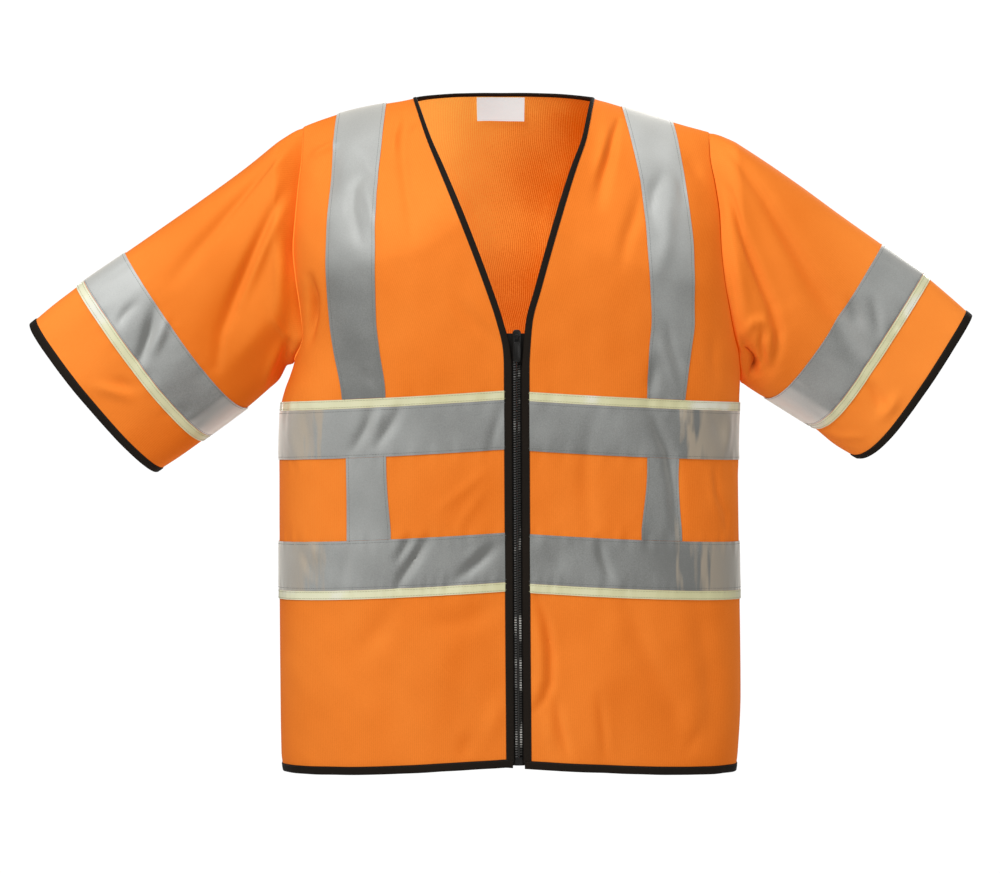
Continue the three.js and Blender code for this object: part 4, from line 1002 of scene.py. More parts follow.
def operator(operation: str, swapped: bool = False) -> Callable[..., "Value"]:
    """A method of Value that adds a Math node of one kind."""

    def method(first: "Value", *others: "Term") -> "Value":
        """The node's result on the value and the other term, if there is one."""
        terms = (first, *others)[:: -1 if swapped else 1]
        return add(first.tree, "ShaderNodeMath", dict(enumerate(terms)), operation=operation)

    return method


class Value:
    """An output of a node. Arithmetic on it adds Math nodes, and an index gives a sister output."""

    def __init__(self, socket: bpy.types.NodeSocket) -> None:
        """Keeps the socket and its tree."""
        self.socket, self.tree = socket, socket.id_data

    def __getitem__(self, output: Union[int, str]) -> "Value":
        """Another output of the same node."""
        return Value(self.socket.node.outputs[output])

    def clamped(self) -> "Value":
        """The same, held between 0 and 1 by its Math node."""
        self.socket.node.use_clamp = True
        return self

    __add__, __sub__, __rsub__ = operator("ADD"), operator("SUBTRACT"), operator("SUBTRACT", True)
    __mul__, __truediv__, __pow__ = operator("MULTIPLY"), operator("DIVIDE"), operator("POWER")
    __abs__, sine, at_least = operator("ABSOLUTE"), operator("SINE"), operator("MAXIMUM")


Term = Union[float, Value]


def add(tree: bpy.types.NodeTree, kind: str, values: Optional[dict] = None, **options: object) -> Value:
    """Adds a node.

    Args:
        tree: The tree it goes in.
        kind: The node's type.
        values: For inputs by name or number, a value or what to link.
        options: The node's own settings.

    Returns:
        The node's first output, or nothing from a node without any.
    """
    node = tree.nodes.new(kind)
    for option, value in options.items():
        setattr(node, option, value)
    for key, value in (values or {}).items():
        if isinstance(value, Value):
            tree.links.new(value.socket, node.inputs[key])
        else:
            node.inputs[key].default_value = value
    return Value(node.outputs[0]) if len(node.outputs) else None


def new_tree(name: str, kind: str, inputs: dict[str, object], outputs: dict[str, str]) -> bpy.types.NodeTree:
    """Makes a node tree with named sockets.

    Args:
        name: The tree's name.
        kind: Geometry or Shader.
        inputs: The first value of each input, or the type of socket where it has no value.
        outputs: The type of each output's socket.

    Returns:
        The tree.
    """
    tree = bpy.data.node_groups.new(name, f"{kind}NodeTree")
    for label, value in inputs.items():
        socket = value if isinstance(value, str) else "Int" if isinstance(value, int) else "Float"
        made = tree.interface.new_socket(name=label, in_out="INPUT", socket_type=f"NodeSocket{socket}")
        if not isinstance(value, str):
            made.default_value = value
    for label, socket in outputs.items():
        tree.interface.new_socket(name=label, in_out="OUTPUT", socket_type=f"NodeSocket{socket}")
    return tree


def run_nodes(source: bpy.types.Object, tree: bpy.types.NodeTree, values: dict[str, object]) -> None:
    """Turns an object into the plain mesh that a tree makes of it.

    Args:
        source: The object, which loses the modifier again.
        tree: The geometry nodes.
        values: What goes in each named input.
    """
    modifier = source.modifiers.new("made", "NODES")
    modifier.node_group = tree
    sockets = {item.name: item.identifier for item in tree.interface.items_tree if item.in_out == "INPUT"}
    for label, value in values.items():
        modifier[sockets[label]] = value
    graph = bpy.context.evaluated_depsgraph_get()
    mesh = bpy.data.meshes.new_from_object(source.evaluated_get(graph), depsgraph=graph)
    source.modifiers.remove(modifier)
    source.data = mesh


def lines_object(name: str, lines: Sequence[np.ndarray]) -> bpy.types.Object:
    """Makes an object of bare edges along lines of points."""
    edges, start = [], 0
    for line in lines:
        edges += [(start + i, start + i + 1) for i in range(len(line) - 1)]
        start += len(line)
    mesh = bpy.data.meshes.new(name)
    mesh.from_pydata((np.concatenate(lines) * MM).tolist(), edges, [])
    return shown(bpy.data.objects.new(name, mesh))


@dataclass(frozen=True)
class Row:
    """Small things, all alike, set one after another along lines."""

    name: str
    pitch: float

    def inputs(self) -> dict[str, object]:
        """The inputs of this kind of row alone, with their first values."""
        raise NotImplementedError

    def unit(self, tree: bpy.types.NodeTree, given: Value) -> tuple[Value, Value]:
        """One of the things, and the scale that it is set at."""
        raise NotImplementedError

    def tree(self) -> bpy.types.NodeTree:
        """The geometry nodes that set one at each step along the lines, +Z along the line."""
        inputs = {"Geometry": "Geometry", "Pitch": self.pitch * MM, **self.inputs(), "Material": "Material"}
        tree = new_tree(self.name, "Geometry", inputs, {"Geometry": "Geometry"})
        given = add(tree, "NodeGroupInput")
        curve = add(tree, "GeometryNodeMeshToCurve", {0: given["Geometry"]})
        steps = add(tree, "GeometryNodeResampleCurve", {0: curve, "Length": given["Pitch"]}, mode="LENGTH")
        tangent = add(tree, "GeometryNodeInputTangent")
        turn = add(tree, "FunctionNodeAlignRotationToVector", {"Vector": tangent}, axis="Z")
        unit, size = self.unit(tree, given)
        places = {"Points": steps, "Instance": unit, "Rotation": turn, "Scale": size}
        placed = add(tree, "GeometryNodeInstanceOnPoints", places)
        real = add(tree, "GeometryNodeRealizeInstances", {0: placed})
        done = add(tree, "GeometryNodeSetMaterial", {"Geometry": real, "Material": given["Material"]})
        add(tree, "NodeGroupOutput", {0: done})
        return tree


@dataclass(frozen=True)
class Stitching(Row):
    """Lockstitch: short threads that dip into the cloth at both ends."""

    name: str = "stitches"
    pitch: float = 2.9
    length: float = 2.3
    thick: float = 0.42
    seed: int = 5

    def inputs(self) -> dict[str, object]:
        """The thread's size and how uneven it is."""
        size = {"Length": self.length * MM, "Thickness": self.thick * MM}
        return {**size, "Unevenness": 0.1, "Seed": self.seed}

    def unit(self, tree: bpy.types.NodeTree, given: Value) -> tuple[Value, Value]:
        """A short thread, longer or shorter at random."""
        sizes = {"Vertices": 5, "Radius": given["Thickness"] * 0.5, "Depth": given["Length"]}
        thread = add(tree, "GeometryNodeMeshCylinder", sizes, fill_type="TRIANGLE_FAN")
        uneven = given["Unevenness"]
        limits = {2: 1.0 - uneven, 3: uneven + 1.0, "Seed": given["Seed"]}
        length = add(tree, "FunctionNodeRandomValue", limits)[1]
        return thread, add(tree, "ShaderNodeCombineXYZ", {0: 1.0, 1: 1.0, 2: length})


@dataclass(frozen=True)
class ZipTeeth(Row):
    """Moulded teeth on one side of the chain: a foot on the tape, a neck and a head."""

    name: str = "zip_teeth"
    pitch: float = 2.5
    foot: tuple[float, float, float] = (2.1, 2.4, 1.5)
    neck: tuple[float, float, float] = (1.5, 1.9, 0.8)
    neck_x: float = 1.5
    head: float = 0.75
    head_x: float = 2.55
    head_deep: float = 1.25
    tilt: float = 0.38

    def inputs(self) -> dict[str, object]:
        """Which way the heads point."""
        return {"Inwards": 1.0}

    def unit(self, tree: bpy.types.NodeTree, given: Value) -> tuple[Value, Value]:
        """One tooth, turned to point inwards."""
        foot, neck = (
            add(tree, "GeometryNodeMeshCube", {"Size": tuple(v * MM for v in size)})
            for size in (self.foot, self.neck)
        )
        round_head = {"Vertices": 8, "Radius": self.head * MM, "Depth": self.neck[1] * MM}
        head = add(tree, "GeometryNodeMeshCylinder", round_head)
        upright = {"Rotation": (math.pi / 2, 0, 0), "Scale": (1.0, self.head_deep, 1.0)}
        tooth = add(tree, "GeometryNodeJoinGeometry")
        for part, place in (
            (foot, {"Rotation": (self.tilt, 0, 0)}),
            (neck, {"Translation": (self.neck_x * MM, 0, 0)}),
            (head, {"Translation": (self.head_x * MM, 0, 0), **upright}),
        ):
            moved = add(tree, "GeometryNodeTransform", {"Geometry": part, **place})
            tree.links.new(moved.socket, tooth.socket.node.inputs[0])
        inwards = given["Inwards"]
        return tooth, add(tree, "ShaderNodeCombineXYZ", {0: inwards, 1: inwards, 2: 1.0})


# ---------------------------------------------------------------- finishes


# Colours of painted highlights.
WHITE_GLINT = (0.95, 0.95, 0.92, 1.0)
SILVER_GLINT = (0.8, 0.78, 0.72, 1.0)


def colour_of(colour: Colour) -> tuple[float, ...]:
    """A colour for a node from the usual 0 to 255."""
    channels = [value / 255 for value in colour]
    return (*(v / 12.92 if v <= 0.04045 else ((v + 0.055) / 1.055) ** 2.4 for v in channels), 1.0)


def overlaid(share: Value, base: Union[tuple, Value], over: Union[tuple, Value]) -> Value:
    """A colour with another laid over it by a share from 0 to 1."""
    return add(share.tree, "ShaderNodeMix", {0: share, 6: base, 7: over}, data_type="RGBA")[2]


def noise(place: Value, scale: Term, detail: float) -> Value:
    """Soft noise about a half."""
    return add(place.tree, "ShaderNodeTexNoise", {"Vector": place, "Scale": scale, "Detail": detail})


def split(vector: Value) -> tuple[Value, Value, Value]:
    """The three parts of a vector."""
    parts = add(vector.tree, "ShaderNodeSeparateXYZ", {0: vector})
    return parts[0], parts[1], parts[2]


def ribs_group() -> bpy.types.NodeTree:
    """Ribs along the cloth with finer threads across: how high the surface is, and the gaps."""
    inputs = {"Cloth": "Vector", "Rib Pitch": 0.0021, "Thread Pitch": 0.0007}
    tree = new_tree("ribs", "Shader", inputs, {"Height": "Float", "Gaps": "Float"})
    given = add(tree, "NodeGroupInput")
    cloth = given["Cloth"]
    across, along, _ = split(cloth)
    wandering = across + noise(cloth, 40.0, 1.0) * 0.0008
    rib = (wandering * math.tau / given["Rib Pitch"]).sine()
    thread = (along * math.tau / given["Thread Pitch"]).sine()
    add(tree, "NodeGroupOutput", {0: rib * 0.35 + thread * 0.15 + 0.5, 1: (1.0 - rib) * 0.5})
    return tree


def tone_group() -> bpy.types.NodeTree:
    """Slow changes of tone over the cloth, with a fine grain: a value about a half."""
    inputs = {"Place": "Vector", "Patches": 9.0, "Grain": 900.0, "Grain Share": 0.35}
    tree = new_tree("tone", "Shader", inputs, {"Tone": "Float"})
    given = add(tree, "NodeGroupInput")
    slow, fine = noise(given["Place"], given["Patches"], 2.0), noise(given["Place"], given["Grain"], 1.0)
    add(tree, "NodeGroupOutput", {0: add(tree, "ShaderNodeMix", {0: given["Grain Share"], 2: slow, 3: fine})})
    return tree


class Effects:
    """The node groups that more than one finish uses, each built once."""

    def __init__(self) -> None:
        """Builds the groups."""
        self.ribs = ribs_group()
        self.tone = tone_group()


@dataclass(frozen=True)
class Finish:
    """What every finish has: its lightest and darkest colours, and how it shines."""

    name: str
    light: Colour
    dark: Colour
    roughness: float = 0.5
    specular: float = 0.5
    glint: float = 0.0

    def shading(self, tree: bpy.types.NodeTree, effects: Effects) -> dict[str, object]:
        """What goes in the shader's inputs, apart from the roughness and the specular level."""
        raise NotImplementedError

    def material(self, effects: Effects) -> bpy.types.Material:
        """Builds the material from the shared node groups."""
        made = bpy.data.materials.new(self.name)
        made.use_nodes = True
        tree = made.node_tree
        tree.nodes.clear()
        shine = {"Roughness": self.roughness, "Specular IOR Level": self.specular}
        shader = add(tree, "ShaderNodeBsdfPrincipled", {**self.shading(tree, effects), **shine})
        add(tree, "ShaderNodeOutputMaterial", {0: shader})
        return made


@dataclass(frozen=True)
class ClothFinish(Finish):
    """A woven finish, with effects that do nothing at 0. Places are in metres.

    Most effects paint light or shade into the colour. edge paints a rim of painted_rim_colour where
    the cloth is seen aslant: a painted sheen on tapes and strips, painted shade on the orange.
    painted_falloff paints light and shade on the front by x, by z and all over, and painted_cuff_light
    paints light on what lies beyond painted_cuff_light_from. painted_slope_shade paints shade on what
    tilts to the wearer's left and down, and light on what tilts the other way. painted_fold_shade paints
    shade in deep folds, turned paints streaks of sheen beyond painted_sheen_from, and under paints a
    highlight on what faces down. glint paints highlights on the palest spots, and glow makes the cloth
    glow though it is no lamp.
    """

    roughness: float = 0.8
    rib_pitch: float = 0.0021
    rib_shade: float = 0.1
    bump: float = 0.25
    rib_height: float = 0.0002
    metallic: float = 0.0
    coat: float = 0.0
    glow: float = 0.0
    edge: float = 0.0
    painted_rim_colour: Colour = (255, 250, 238)
    painted_falloff: tuple[float, float, float] = (0.0, 0.0, 0.0)
    painted_cuff_light: float = 0.0
    painted_cuff_light_from: float = 0.3
    painted_slope_shade: float = 0.0
    painted_fold_shade: float = 0.0
    painted_fold_shade_colour: Colour = (172, 60, 0)
    turned: float = 0.0
    painted_sheen_from: float = 0.186
    painted_sheen_reach: float = 0.12
    painted_sheen_colour: Colour = (205, 186, 160)
    under: float = 0.0
    painted_underside_highlight_colour: Colour = (252, 250, 244)
    patches: float = 9.0
    grain_share: float = 0.35

    def shade(self, tone: Value, gaps: Value, place: Value, normal: Value) -> Value:
        """How dark the cloth is, from 0 for the light colour to 1 for the dark one: its own tone and ribs,
        with painted light and shade added.
        """
        x, _, z = split(place)
        facing_back = split(normal)[1]
        shade = 1.0 - tone + gaps * self.rib_shade
        # Painted light and shade falling off over the front, by x, by z and all over.
        if any(self.painted_falloff):
            moved = x * self.painted_falloff[0] + z * self.painted_falloff[1] + self.painted_falloff[2]
            shade = shade + moved * (facing_back * -4.0).clamped()
        # Painted light on what lies far out to the sides, at the ends of the sleeves.
        if self.painted_cuff_light:
            shade = shade - (abs(x) - self.painted_cuff_light_from).at_least(0.0) * self.painted_cuff_light
        # Painted light and shade by how the surface tilts, darker where it tilts to the wearer's left and
        # down.
        if self.painted_slope_shade:
            shaded_tilt = {0: normal, 1: (0.8, 0.0, -0.6)}
            tilt = add(normal.tree, "ShaderNodeVectorMath", shaded_tilt, operation="DOT_PRODUCT")["Value"]
            shade = shade + tilt * facing_back**2.0 * self.painted_slope_shade
        return shade

    def shading(self, tree: bpy.types.NodeTree, effects: Effects) -> dict[str, object]:
        """The colour with its painted light and shade, the ribs and the shine of the cloth."""
        place = add(tree, "ShaderNodeTexCoord")["Object"]
        normal = add(tree, "ShaderNodeNewGeometry")["Normal"]
        weave = {"Cloth": add(tree, "ShaderNodeUVMap", uv_map="cloth"), "Rib Pitch": self.rib_pitch}
        ribs = add(tree, "ShaderNodeGroup", weave, node_tree=effects.ribs)
        mottle = {"Place": place, "Patches": self.patches, "Grain Share": self.grain_share}
        tone = add(tree, "ShaderNodeGroup", mottle, node_tree=effects.tone)
        shade = self.shade(tone, ribs["Gaps"], place, normal)
        base = overlaid(shade, colour_of(self.light), colour_of(self.dark))
        # Painted highlights: the palest spots of the tone turn white.
        if self.glint:
            spots = ((tone - 0.57) * 14.0).clamped()
            base = overlaid(spots * self.glint, base, WHITE_GLINT)
        # Painted shade in deep folds.
        if self.painted_fold_shade:
            fold_shade = add(tree, "ShaderNodeAttribute", attribute_name="fold_shade")["Fac"]
            base = overlaid(fold_shade * self.painted_fold_shade, base, colour_of(self.painted_fold_shade_colour))
        # Painted sheen: pale streaks where the tapes turn round the sides of the body.
        if self.turned:
            tall = {0: place, 1: (1.0, 1.0, 0.12)}
            sheen_streaks = noise(add(tree, "ShaderNodeVectorMath", tall, operation="MULTIPLY"), 90.0, 2.0)
            beyond = abs(split(place)[0]) + (sheen_streaks - 0.5) * self.painted_sheen_reach - self.painted_sheen_from
            frontal = split(normal)[1] ** 2.0
            share = (beyond * 60.0).clamped() * frontal * self.turned
            base = overlaid(share, base, colour_of(self.painted_sheen_colour))
        # Painted highlight on what faces down.
        if self.under:
            down = ((-0.35 - split(normal)[2]) * 2.4).clamped()
            base = overlaid(down * self.under, base, colour_of(self.painted_underside_highlight_colour))
        # Painted rim where the cloth is seen aslant: a sheen on tapes and strips, shade on the orange.
        if self.edge:
            aslant = add(tree, "ShaderNodeLayerWeight", {"Blend": 0.5})["Facing"]
            base = overlaid(aslant**2.5 * self.edge, base, colour_of(self.painted_rim_colour))
        relief = {"Strength": self.bump, "Distance": self.rib_height, "Height": ribs}
        return {
            "Base Color": base,
            "Metallic": self.metallic,
            "Coat Weight": self.coat,
            "Coat Roughness": 0.15,
            # Painted light: the cloth glows by glow though it is no lamp.
            "Emission Color": base,
            "Emission Strength": self.glow,
            "Normal": add(tree, "ShaderNodeBump", relief),
        }


@dataclass(frozen=True)
class PlainFinish(Finish):
    """Thread or moulded plastic: one colour with a little grain. glint paints highlights on the feet of zip
    teeth.
    """

    grain: float = 1500.0
    bump: float = 0.1
    grain_height: float = 0.0001

    def shading(self, tree: bpy.types.NodeTree, effects: Effects) -> dict[str, object]:
        """The colour, its grain and its painted glints."""
        place = add(tree, "ShaderNodeTexCoord")["Object"]
        tone = add(tree, "ShaderNodeGroup", {"Place": place, "Grain": self.grain}, node_tree=effects.tone)
        base = overlaid(tone, colour_of(self.dark), colour_of(self.light))
        if self.glint:
            # Painted glints: silver patches on the tilted feet of the teeth, more of them lower down.
            bar = split(place)[2] * 0.45 + 0.74
            patches = ((noise(place, 28.0, 2.0) - bar) * 9.0).clamped()
            tilt = abs(split(add(tree, "ShaderNodeNewGeometry")["Normal"])[2])
            on_foot = (1.5 - abs(tilt - math.sin(ZipTeeth.tilt)) * 8.0).clamped()
            base = overlaid(patches * on_foot * self.glint, base, SILVER_GLINT)
        relief = {"Strength": self.bump, "Distance": self.grain_height, "Height": tone}
        return {"Base Color": base, "Normal": add(tree, "ShaderNodeBump", relief)}


# The tape paints a sheen at its rim and where it turns round the sides, and light and shade by tilt and over
# the front.
TAPE_FINISH = ClothFinish(
    "reflective_tape", (200, 202, 199), (126, 127, 124), rib_pitch=0.0009, bump=0.12, roughness=0.5,
    metallic=0.2, specular=0.3, edge=1.25, turned=0.75, patches=14.0, painted_falloff=(0.1, -0.5, -0.06), painted_slope_shade=0.95,
)

FINISHES = (
    # The orange paints shade at its rim and in deep folds, light and shade by tilt and across the front,
    # light at the ends of the sleeves, and glows a little.
    ClothFinish(
        "orange_cloth", (255, 145, 56), (226, 110, 25), rib_shade=0.15, painted_slope_shade=0.95, edge=0.2,
        painted_rim_colour=(214, 98, 20), specular=0.1, glow=0.1, painted_fold_shade=0.85, painted_falloff=(-0.5, 0.0, 0.0), painted_cuff_light=3.0,
    ),
    # The inside is the orange with painted light and shade: it glows, and darkens towards the wearer's left
    # and downwards.
    ClothFinish(
        "orange_cloth_inside", (255, 194, 90), (192, 84, 0), rib_shade=0.3, specular=0.0, glow=0.37,
        painted_falloff=(5.0, -1.5, -0.2),
    ),
    TAPE_FINISH,
    # Copies of the tape that differ in their painted light and shade: the shoulder copy has its own falloff,
    # the sleeve copy a highlight underneath and more shade by tilt.
    replace(TAPE_FINISH, name="reflective_tape_shoulder", turned=0.0, painted_falloff=(-1.7, -1.6, -0.2)),
    replace(
        TAPE_FINISH, name="reflective_tape_sleeve", light=(204, 206, 203), dark=(128, 129, 126), edge=1.05,
        turned=0.0, under=0.9, painted_falloff=(0.0, 0.0, 0.0), painted_slope_shade=1.4,
    ),
    # The glow strip paints a sheen at its rim, highlights, and light and shade by tilt.
    ClothFinish(
        "glow_strip", (255, 255, 222), (220, 216, 168), rib_pitch=0.0012, rib_shade=0.3, bump=0.1,
        roughness=0.35, coat=0.5, edge=0.3, patches=13.0, grain_share=0.1, painted_slope_shade=1.2, glint=0.6,
    ),
    ClothFinish(
        "black_binding", (40, 31, 22), (21, 16, 11), rib_pitch=0.0013, rib_shade=0.3, bump=0.5,
        roughness=0.75, specular=0.15,
    ),
    ClothFinish(
        "zip_tape", (30, 27, 23), (14, 12, 10), rib_pitch=0.0010, rib_shade=0.4, bump=0.6, roughness=0.75,
        specular=0.25,
    ),
    # The label glows though it is no lamp: painted light.
    ClothFinish(
        "label", (212, 234, 238), (202, 224, 230), rib_pitch=0.0006, bump=0.1, roughness=0.6, glow=0.5
    ),
    PlainFinish("zip_plastic", (18, 15, 12), (8, 7, 5), roughness=0.35, specular=0.4),
    PlainFinish("zip_teeth", (40, 37, 32), (14, 12, 9), roughness=0.13, specular=1.0, glint=0.65),
    PlainFinish("grey_thread", (122, 124, 122), (86, 88, 87), roughness=0.6),
    PlainFinish("cream_thread", (200, 195, 154), (160, 155, 116), roughness=0.6),
    PlainFinish("black_thread", (30, 26, 22), (14, 12, 10), roughness=0.7),
)


# ---------------------------------------------------------------- the garment


class Held(Enum):
    """How a sheet of cloth is held."""

    HUNG = "hung"
    STRETCHED = "stretched"
    FOLDED = "folded"
    LAID = "laid"


class Goods(Enum):
    """What a sheet is cut from: its finish, its slot, how it is held and how thick it is."""

    CLOTH = ("orange_cloth", "orange_cloth", Held.HUNG, CLOTH_THICK)
    TAPE = ("reflective_tape", "reflective_tape", Held.LAID, 0.4)
    SHOULDER_TAPE = ("reflective_tape_shoulder", "reflective_tape", Held.LAID, 0.4)
    SLEEVE_TAPE = ("reflective_tape_sleeve", "reflective_tape", Held.LAID, 0.4)
    GLOW = ("glow_strip", "glow_strip", Held.LAID, 0.4)
    BINDING = ("black_binding", "black_binding", Held.FOLDED, 0.3)
    ZIP_TAPE = ("zip_tape", "zip_tape", Held.STRETCHED, 0.5)
    LABEL = ("label", "label", Held.HUNG, 0.35)


class Workroom:
    """Puts finished pieces on their bodies and keeps the materials and threads they share."""

    thread_slots = {"grey": "reflective_tape", "cream": "glow_strip", "black": "black_binding"}

    def __init__(self) -> None:
        """Builds every material."""
        effects = Effects()
        self.materials = {finish.name: finish.material(effects) for finish in FINISHES}
        self.lines: dict[str, list[np.ndarray]] = {thread: [] for thread in self.thread_slots}

    def declare(
        self, piece: bpy.types.Object, slot: str, nodes: Sequence[str] = (), body: str = GARMENT
    ) -> None:
        """Puts a piece on what it rides on, hides the parts it stands for and logs how many faces it has."""
        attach(piece, body)
        if nodes:
            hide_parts(*nodes)
        LOG.info("%s: %d faces", piece.name, len(piece.data.polygons))

    def sheet(
        self,
        node: str,
        patch: Patch,
        goods: Goods,
        rests_on: Sequence[str] = (),
        lift: Numbers = 0.0,
        nodes: Sequence[str] = (),
    ) -> None:
        """Args:
            node: The node, or the piece's own name where there are more.
            patch: Where the cloth lies.
            goods: What it is cut from.
            rests_on: The nodes of the sheets that it lies on; not used.
            lift: How far out its outer face is.
            nodes: Its nodes, where there is more than one.
        """
        finish, slot, held, thick = goods.value
        piece = shell(f"{node}_cloth", patch, lift, thick)
        piece.data.materials.append(self.materials[finish])
        if goods is Goods.CLOTH:
            piece.data.materials.append(self.materials["orange_cloth_inside"])
            inside = np.zeros(len(piece.data.polygons), dtype=np.int32)
            piece.data.attributes["inside"].data.foreach_get("value", inside)
            piece.data.polygons.foreach_set("material_index", inside)
        self.declare(piece, slot, nodes or [node])
        size = patch.lengths()

    def sew(
        self, thread: str, first: np.ndarray, second: np.ndarray, share: float, closed: bool = False
    ) -> None:
        """Keeps a line of stitches for later, part of the way from one line of points to another.

        Args:
            thread: Its colour.
            first: The first line.
            second: The second line.
            share: How far from the first to the second.
            closed: Whether it comes round to its start again.
        """
        line = mix(first, second, share)
        self.lines[thread].append(np.concatenate([line, line[:1]]) if closed else line)

    def sew_edges(self, thread: str, grid: np.ndarray, share: float, closed: bool = False) -> None:
        """Keeps two lines of stitches, a share of a cell in from a grid's first and last rows."""
        self.sew(thread, grid[0], grid[1], share, closed)
        self.sew(thread, grid[-1], grid[-2], share, closed)

    def make_stitches(self) -> None:
        """Makes one piece of stitches in each colour of thread."""
        tree = Stitching().tree()
        for thread, slot in self.thread_slots.items():
            piece = lines_object(f"stitches_{thread}_thread", self.lines[thread])
            run_nodes(piece, tree, {"Material": self.materials[f"{thread}_thread"]})
            self.declare(piece, slot)


def spaced(start: float, end: float, step: float, length: float) -> np.ndarray:
    """Numbers from start to end for cells of about one step over a length."""
    return np.linspace(start, end, max(2, int(round(length / step)) + 1))


def domed(count: int = TAPE_CELLS + 1) -> np.ndarray:
    """How far out the outer face of a tape lies at points across it, a little more in the middle."""
    return TAPE_LIFT + TAPE_DOME * (1 - np.abs(np.linspace(-1, 1, count)) ** 6)


@dataclass
class Torso:
    """The fronts, the back and what is sewn on them.

    The sizes named length are roughly those of the panels' parts, and set how many cells they have.
    """

    room: Workroom
    cell: float = 3.0
    back_cell: float = 4.2
    stitch_in: float = 2.6
    glow_stitch_in: float = 1.6
    low_length: float = 410.0
    high_length: float = 330.0
    side_length: float = 150.0
    tape_width: float = 46.0
    tape_gap: float = 0.2
    nape_right: float = 102.0
    form: TorsoForm = field(default_factory=TorsoForm)

    def __post_init__(self) -> None:
        """Lays out the panels."""
        self.fronts = {side: Panel(self.form, Face.FRONT, side) for side in Side}
        self.back = Panel(self.form, Face.BACK)
        self.front_columns = self.half_columns(self.cell, 8, 108)
        half = self.half_columns(self.back_cell, 80, 40)
        self.back_columns = np.concatenate([-half[::-1], half[1:]])

    def rows(self, cell: float) -> np.ndarray:
        """Rows of a whole panel, closer together at the shoulder."""
        rise = 1 + eased(int(self.high_length / cell))
        return np.concatenate([spaced(0, 1, cell, self.low_length), rise[1:]])

    def half_columns(self, cell: float, first: float, second: float) -> np.ndarray:
        """Columns from 0 to the side. first and second are the widths from 0 to 1 and from 1 to 2."""
        widths = (first, second, self.tape_width)
        runs = [spaced(k, k + 1, cell, width)[1:] for k, width in enumerate(widths)]
        side = 3 + eased(int(self.side_length / cell)) ** 0.9
        return np.concatenate([[0.0], *runs, side[1:]])

    def build_panels(self) -> None:
        """The fronts and the back."""
        for side, panel in self.fronts.items():
            patch = panel.patch(self.front_columns, self.rows(self.cell))
            self.room.sheet(f"front_{side.word}", patch, Goods.CLOTH)
        patch = self.back.patch(self.back_columns, self.rows(self.back_cell))
        nodes = ("back_lower", "back_upper", "back_side_right", "back_side_left")
        self.room.sheet("back", patch, Goods.CLOTH, nodes=nodes)

    def strip(self, panel: Panel, columns: np.ndarray, low: float, high: float, cells: int) -> Patch:
        """A level strip across a panel, between two levels."""
        levels = np.linspace(low, high, cells + 1)
        return panel.patch(columns, np.array([panel.row_at(level, columns) for level in levels]))

    def sew_level(
        self, thread: str, panel: Panel, columns: np.ndarray, low: float, high: float, lift: float
    ) -> None:
        """Two level lines of stitches across a panel."""
        for level in (low, high):
            line = self.strip(panel, columns, level, level + 0.5, 1).moved(lift + THREAD_LIFT)
            self.room.sew(thread, line[0], line[1], 0.0)

    def build_bands(self) -> None:
        """The reflective bands and glow strips in three lengths each, with their stitches."""
        columns = self.front_columns
        front = np.concatenate([[0.965, 1.005], columns[columns > 1.01]])
        lengths = [(f"front_{side.word}", panel, front) for side, panel in self.fronts.items()]
        lengths.append(("back", self.back, self.back_columns))
        for part, panel, columns in lengths:
            for word, low in (("lower", LOW_BAND_Z), ("upper", HIGH_BAND_Z)):
                high = low + BAND_WIDTH
                band = self.strip(panel, columns, low, high, TAPE_CELLS)
                self.room.sheet(f"{word}_band_{part}", band, Goods.TAPE, [part], domed()[:, None])
                low_glow = low - GLOW_WIDTH if word == "lower" else high
                high_glow = low_glow + GLOW_WIDTH
                glow = self.strip(panel, columns, low_glow + 0.15, high_glow - 0.15, 4)
                self.room.sheet(f"{word}_glow_{part}", glow, Goods.GLOW, [part], GLOW_LIFT)
                inset = self.stitch_in
                self.sew_level("grey", panel, columns, low + inset, high - inset, TAPE_LIFT)
                inset = self.glow_stitch_in
                self.sew_level("cream", panel, columns, low_glow + inset, high_glow - inset, GLOW_LIFT)

    def build_shoulder_tapes(self) -> None:
        """The tapes over the shoulders and the short ones between the bands."""
        lift = domed()[None, :]
        start = HIGH_BAND_Z + BAND_WIDTH + GLOW_WIDTH + self.tape_gap
        steps = np.linspace(0, 1, 12)[:-1, None]
        rise = np.broadcast_to(1 + eased(90)[:, None] * 0.9999, (90, TAPE_CELLS + 1))
        for side, panel in self.fronts.items():
            columns = np.linspace(2, 3, TAPE_CELLS + 1)
            halves = []
            for half, places in ((panel, columns), (self.back, columns * side.value)):
                low = half.row_at(start, places)
                halves.append(half.patch(places, np.concatenate([low + (1 - low) * steps, rise])))
            front, behind = halves
            points = np.concatenate([front.points, behind.points[::-1]])
            over = Patch(points, np.concatenate([front.normals, behind.normals[::-1]]))
            part = f"front_{side.word}"
            name = f"shoulder_tape_{side.word}"
            self.room.sheet(name, over, Goods.SHOULDER_TAPE, [part, "back"], lift)
            low = panel.row_at(LOW_BAND_Z + BAND_WIDTH + self.tape_gap, columns)
            high = panel.row_at(HIGH_BAND_Z - self.tape_gap, columns)
            short = panel.patch(columns, mix(low, high, np.linspace(0, 1, 26)[:, None]))
            self.room.sheet(f"waist_tape_{side.word}", short, Goods.TAPE, [part], lift)
            for patch in (over, short):
                lifted = patch.moved(TAPE_LIFT + THREAD_LIFT)
                self.room.sew_edges("grey", lifted.transpose(1, 0, 2), 0.85)

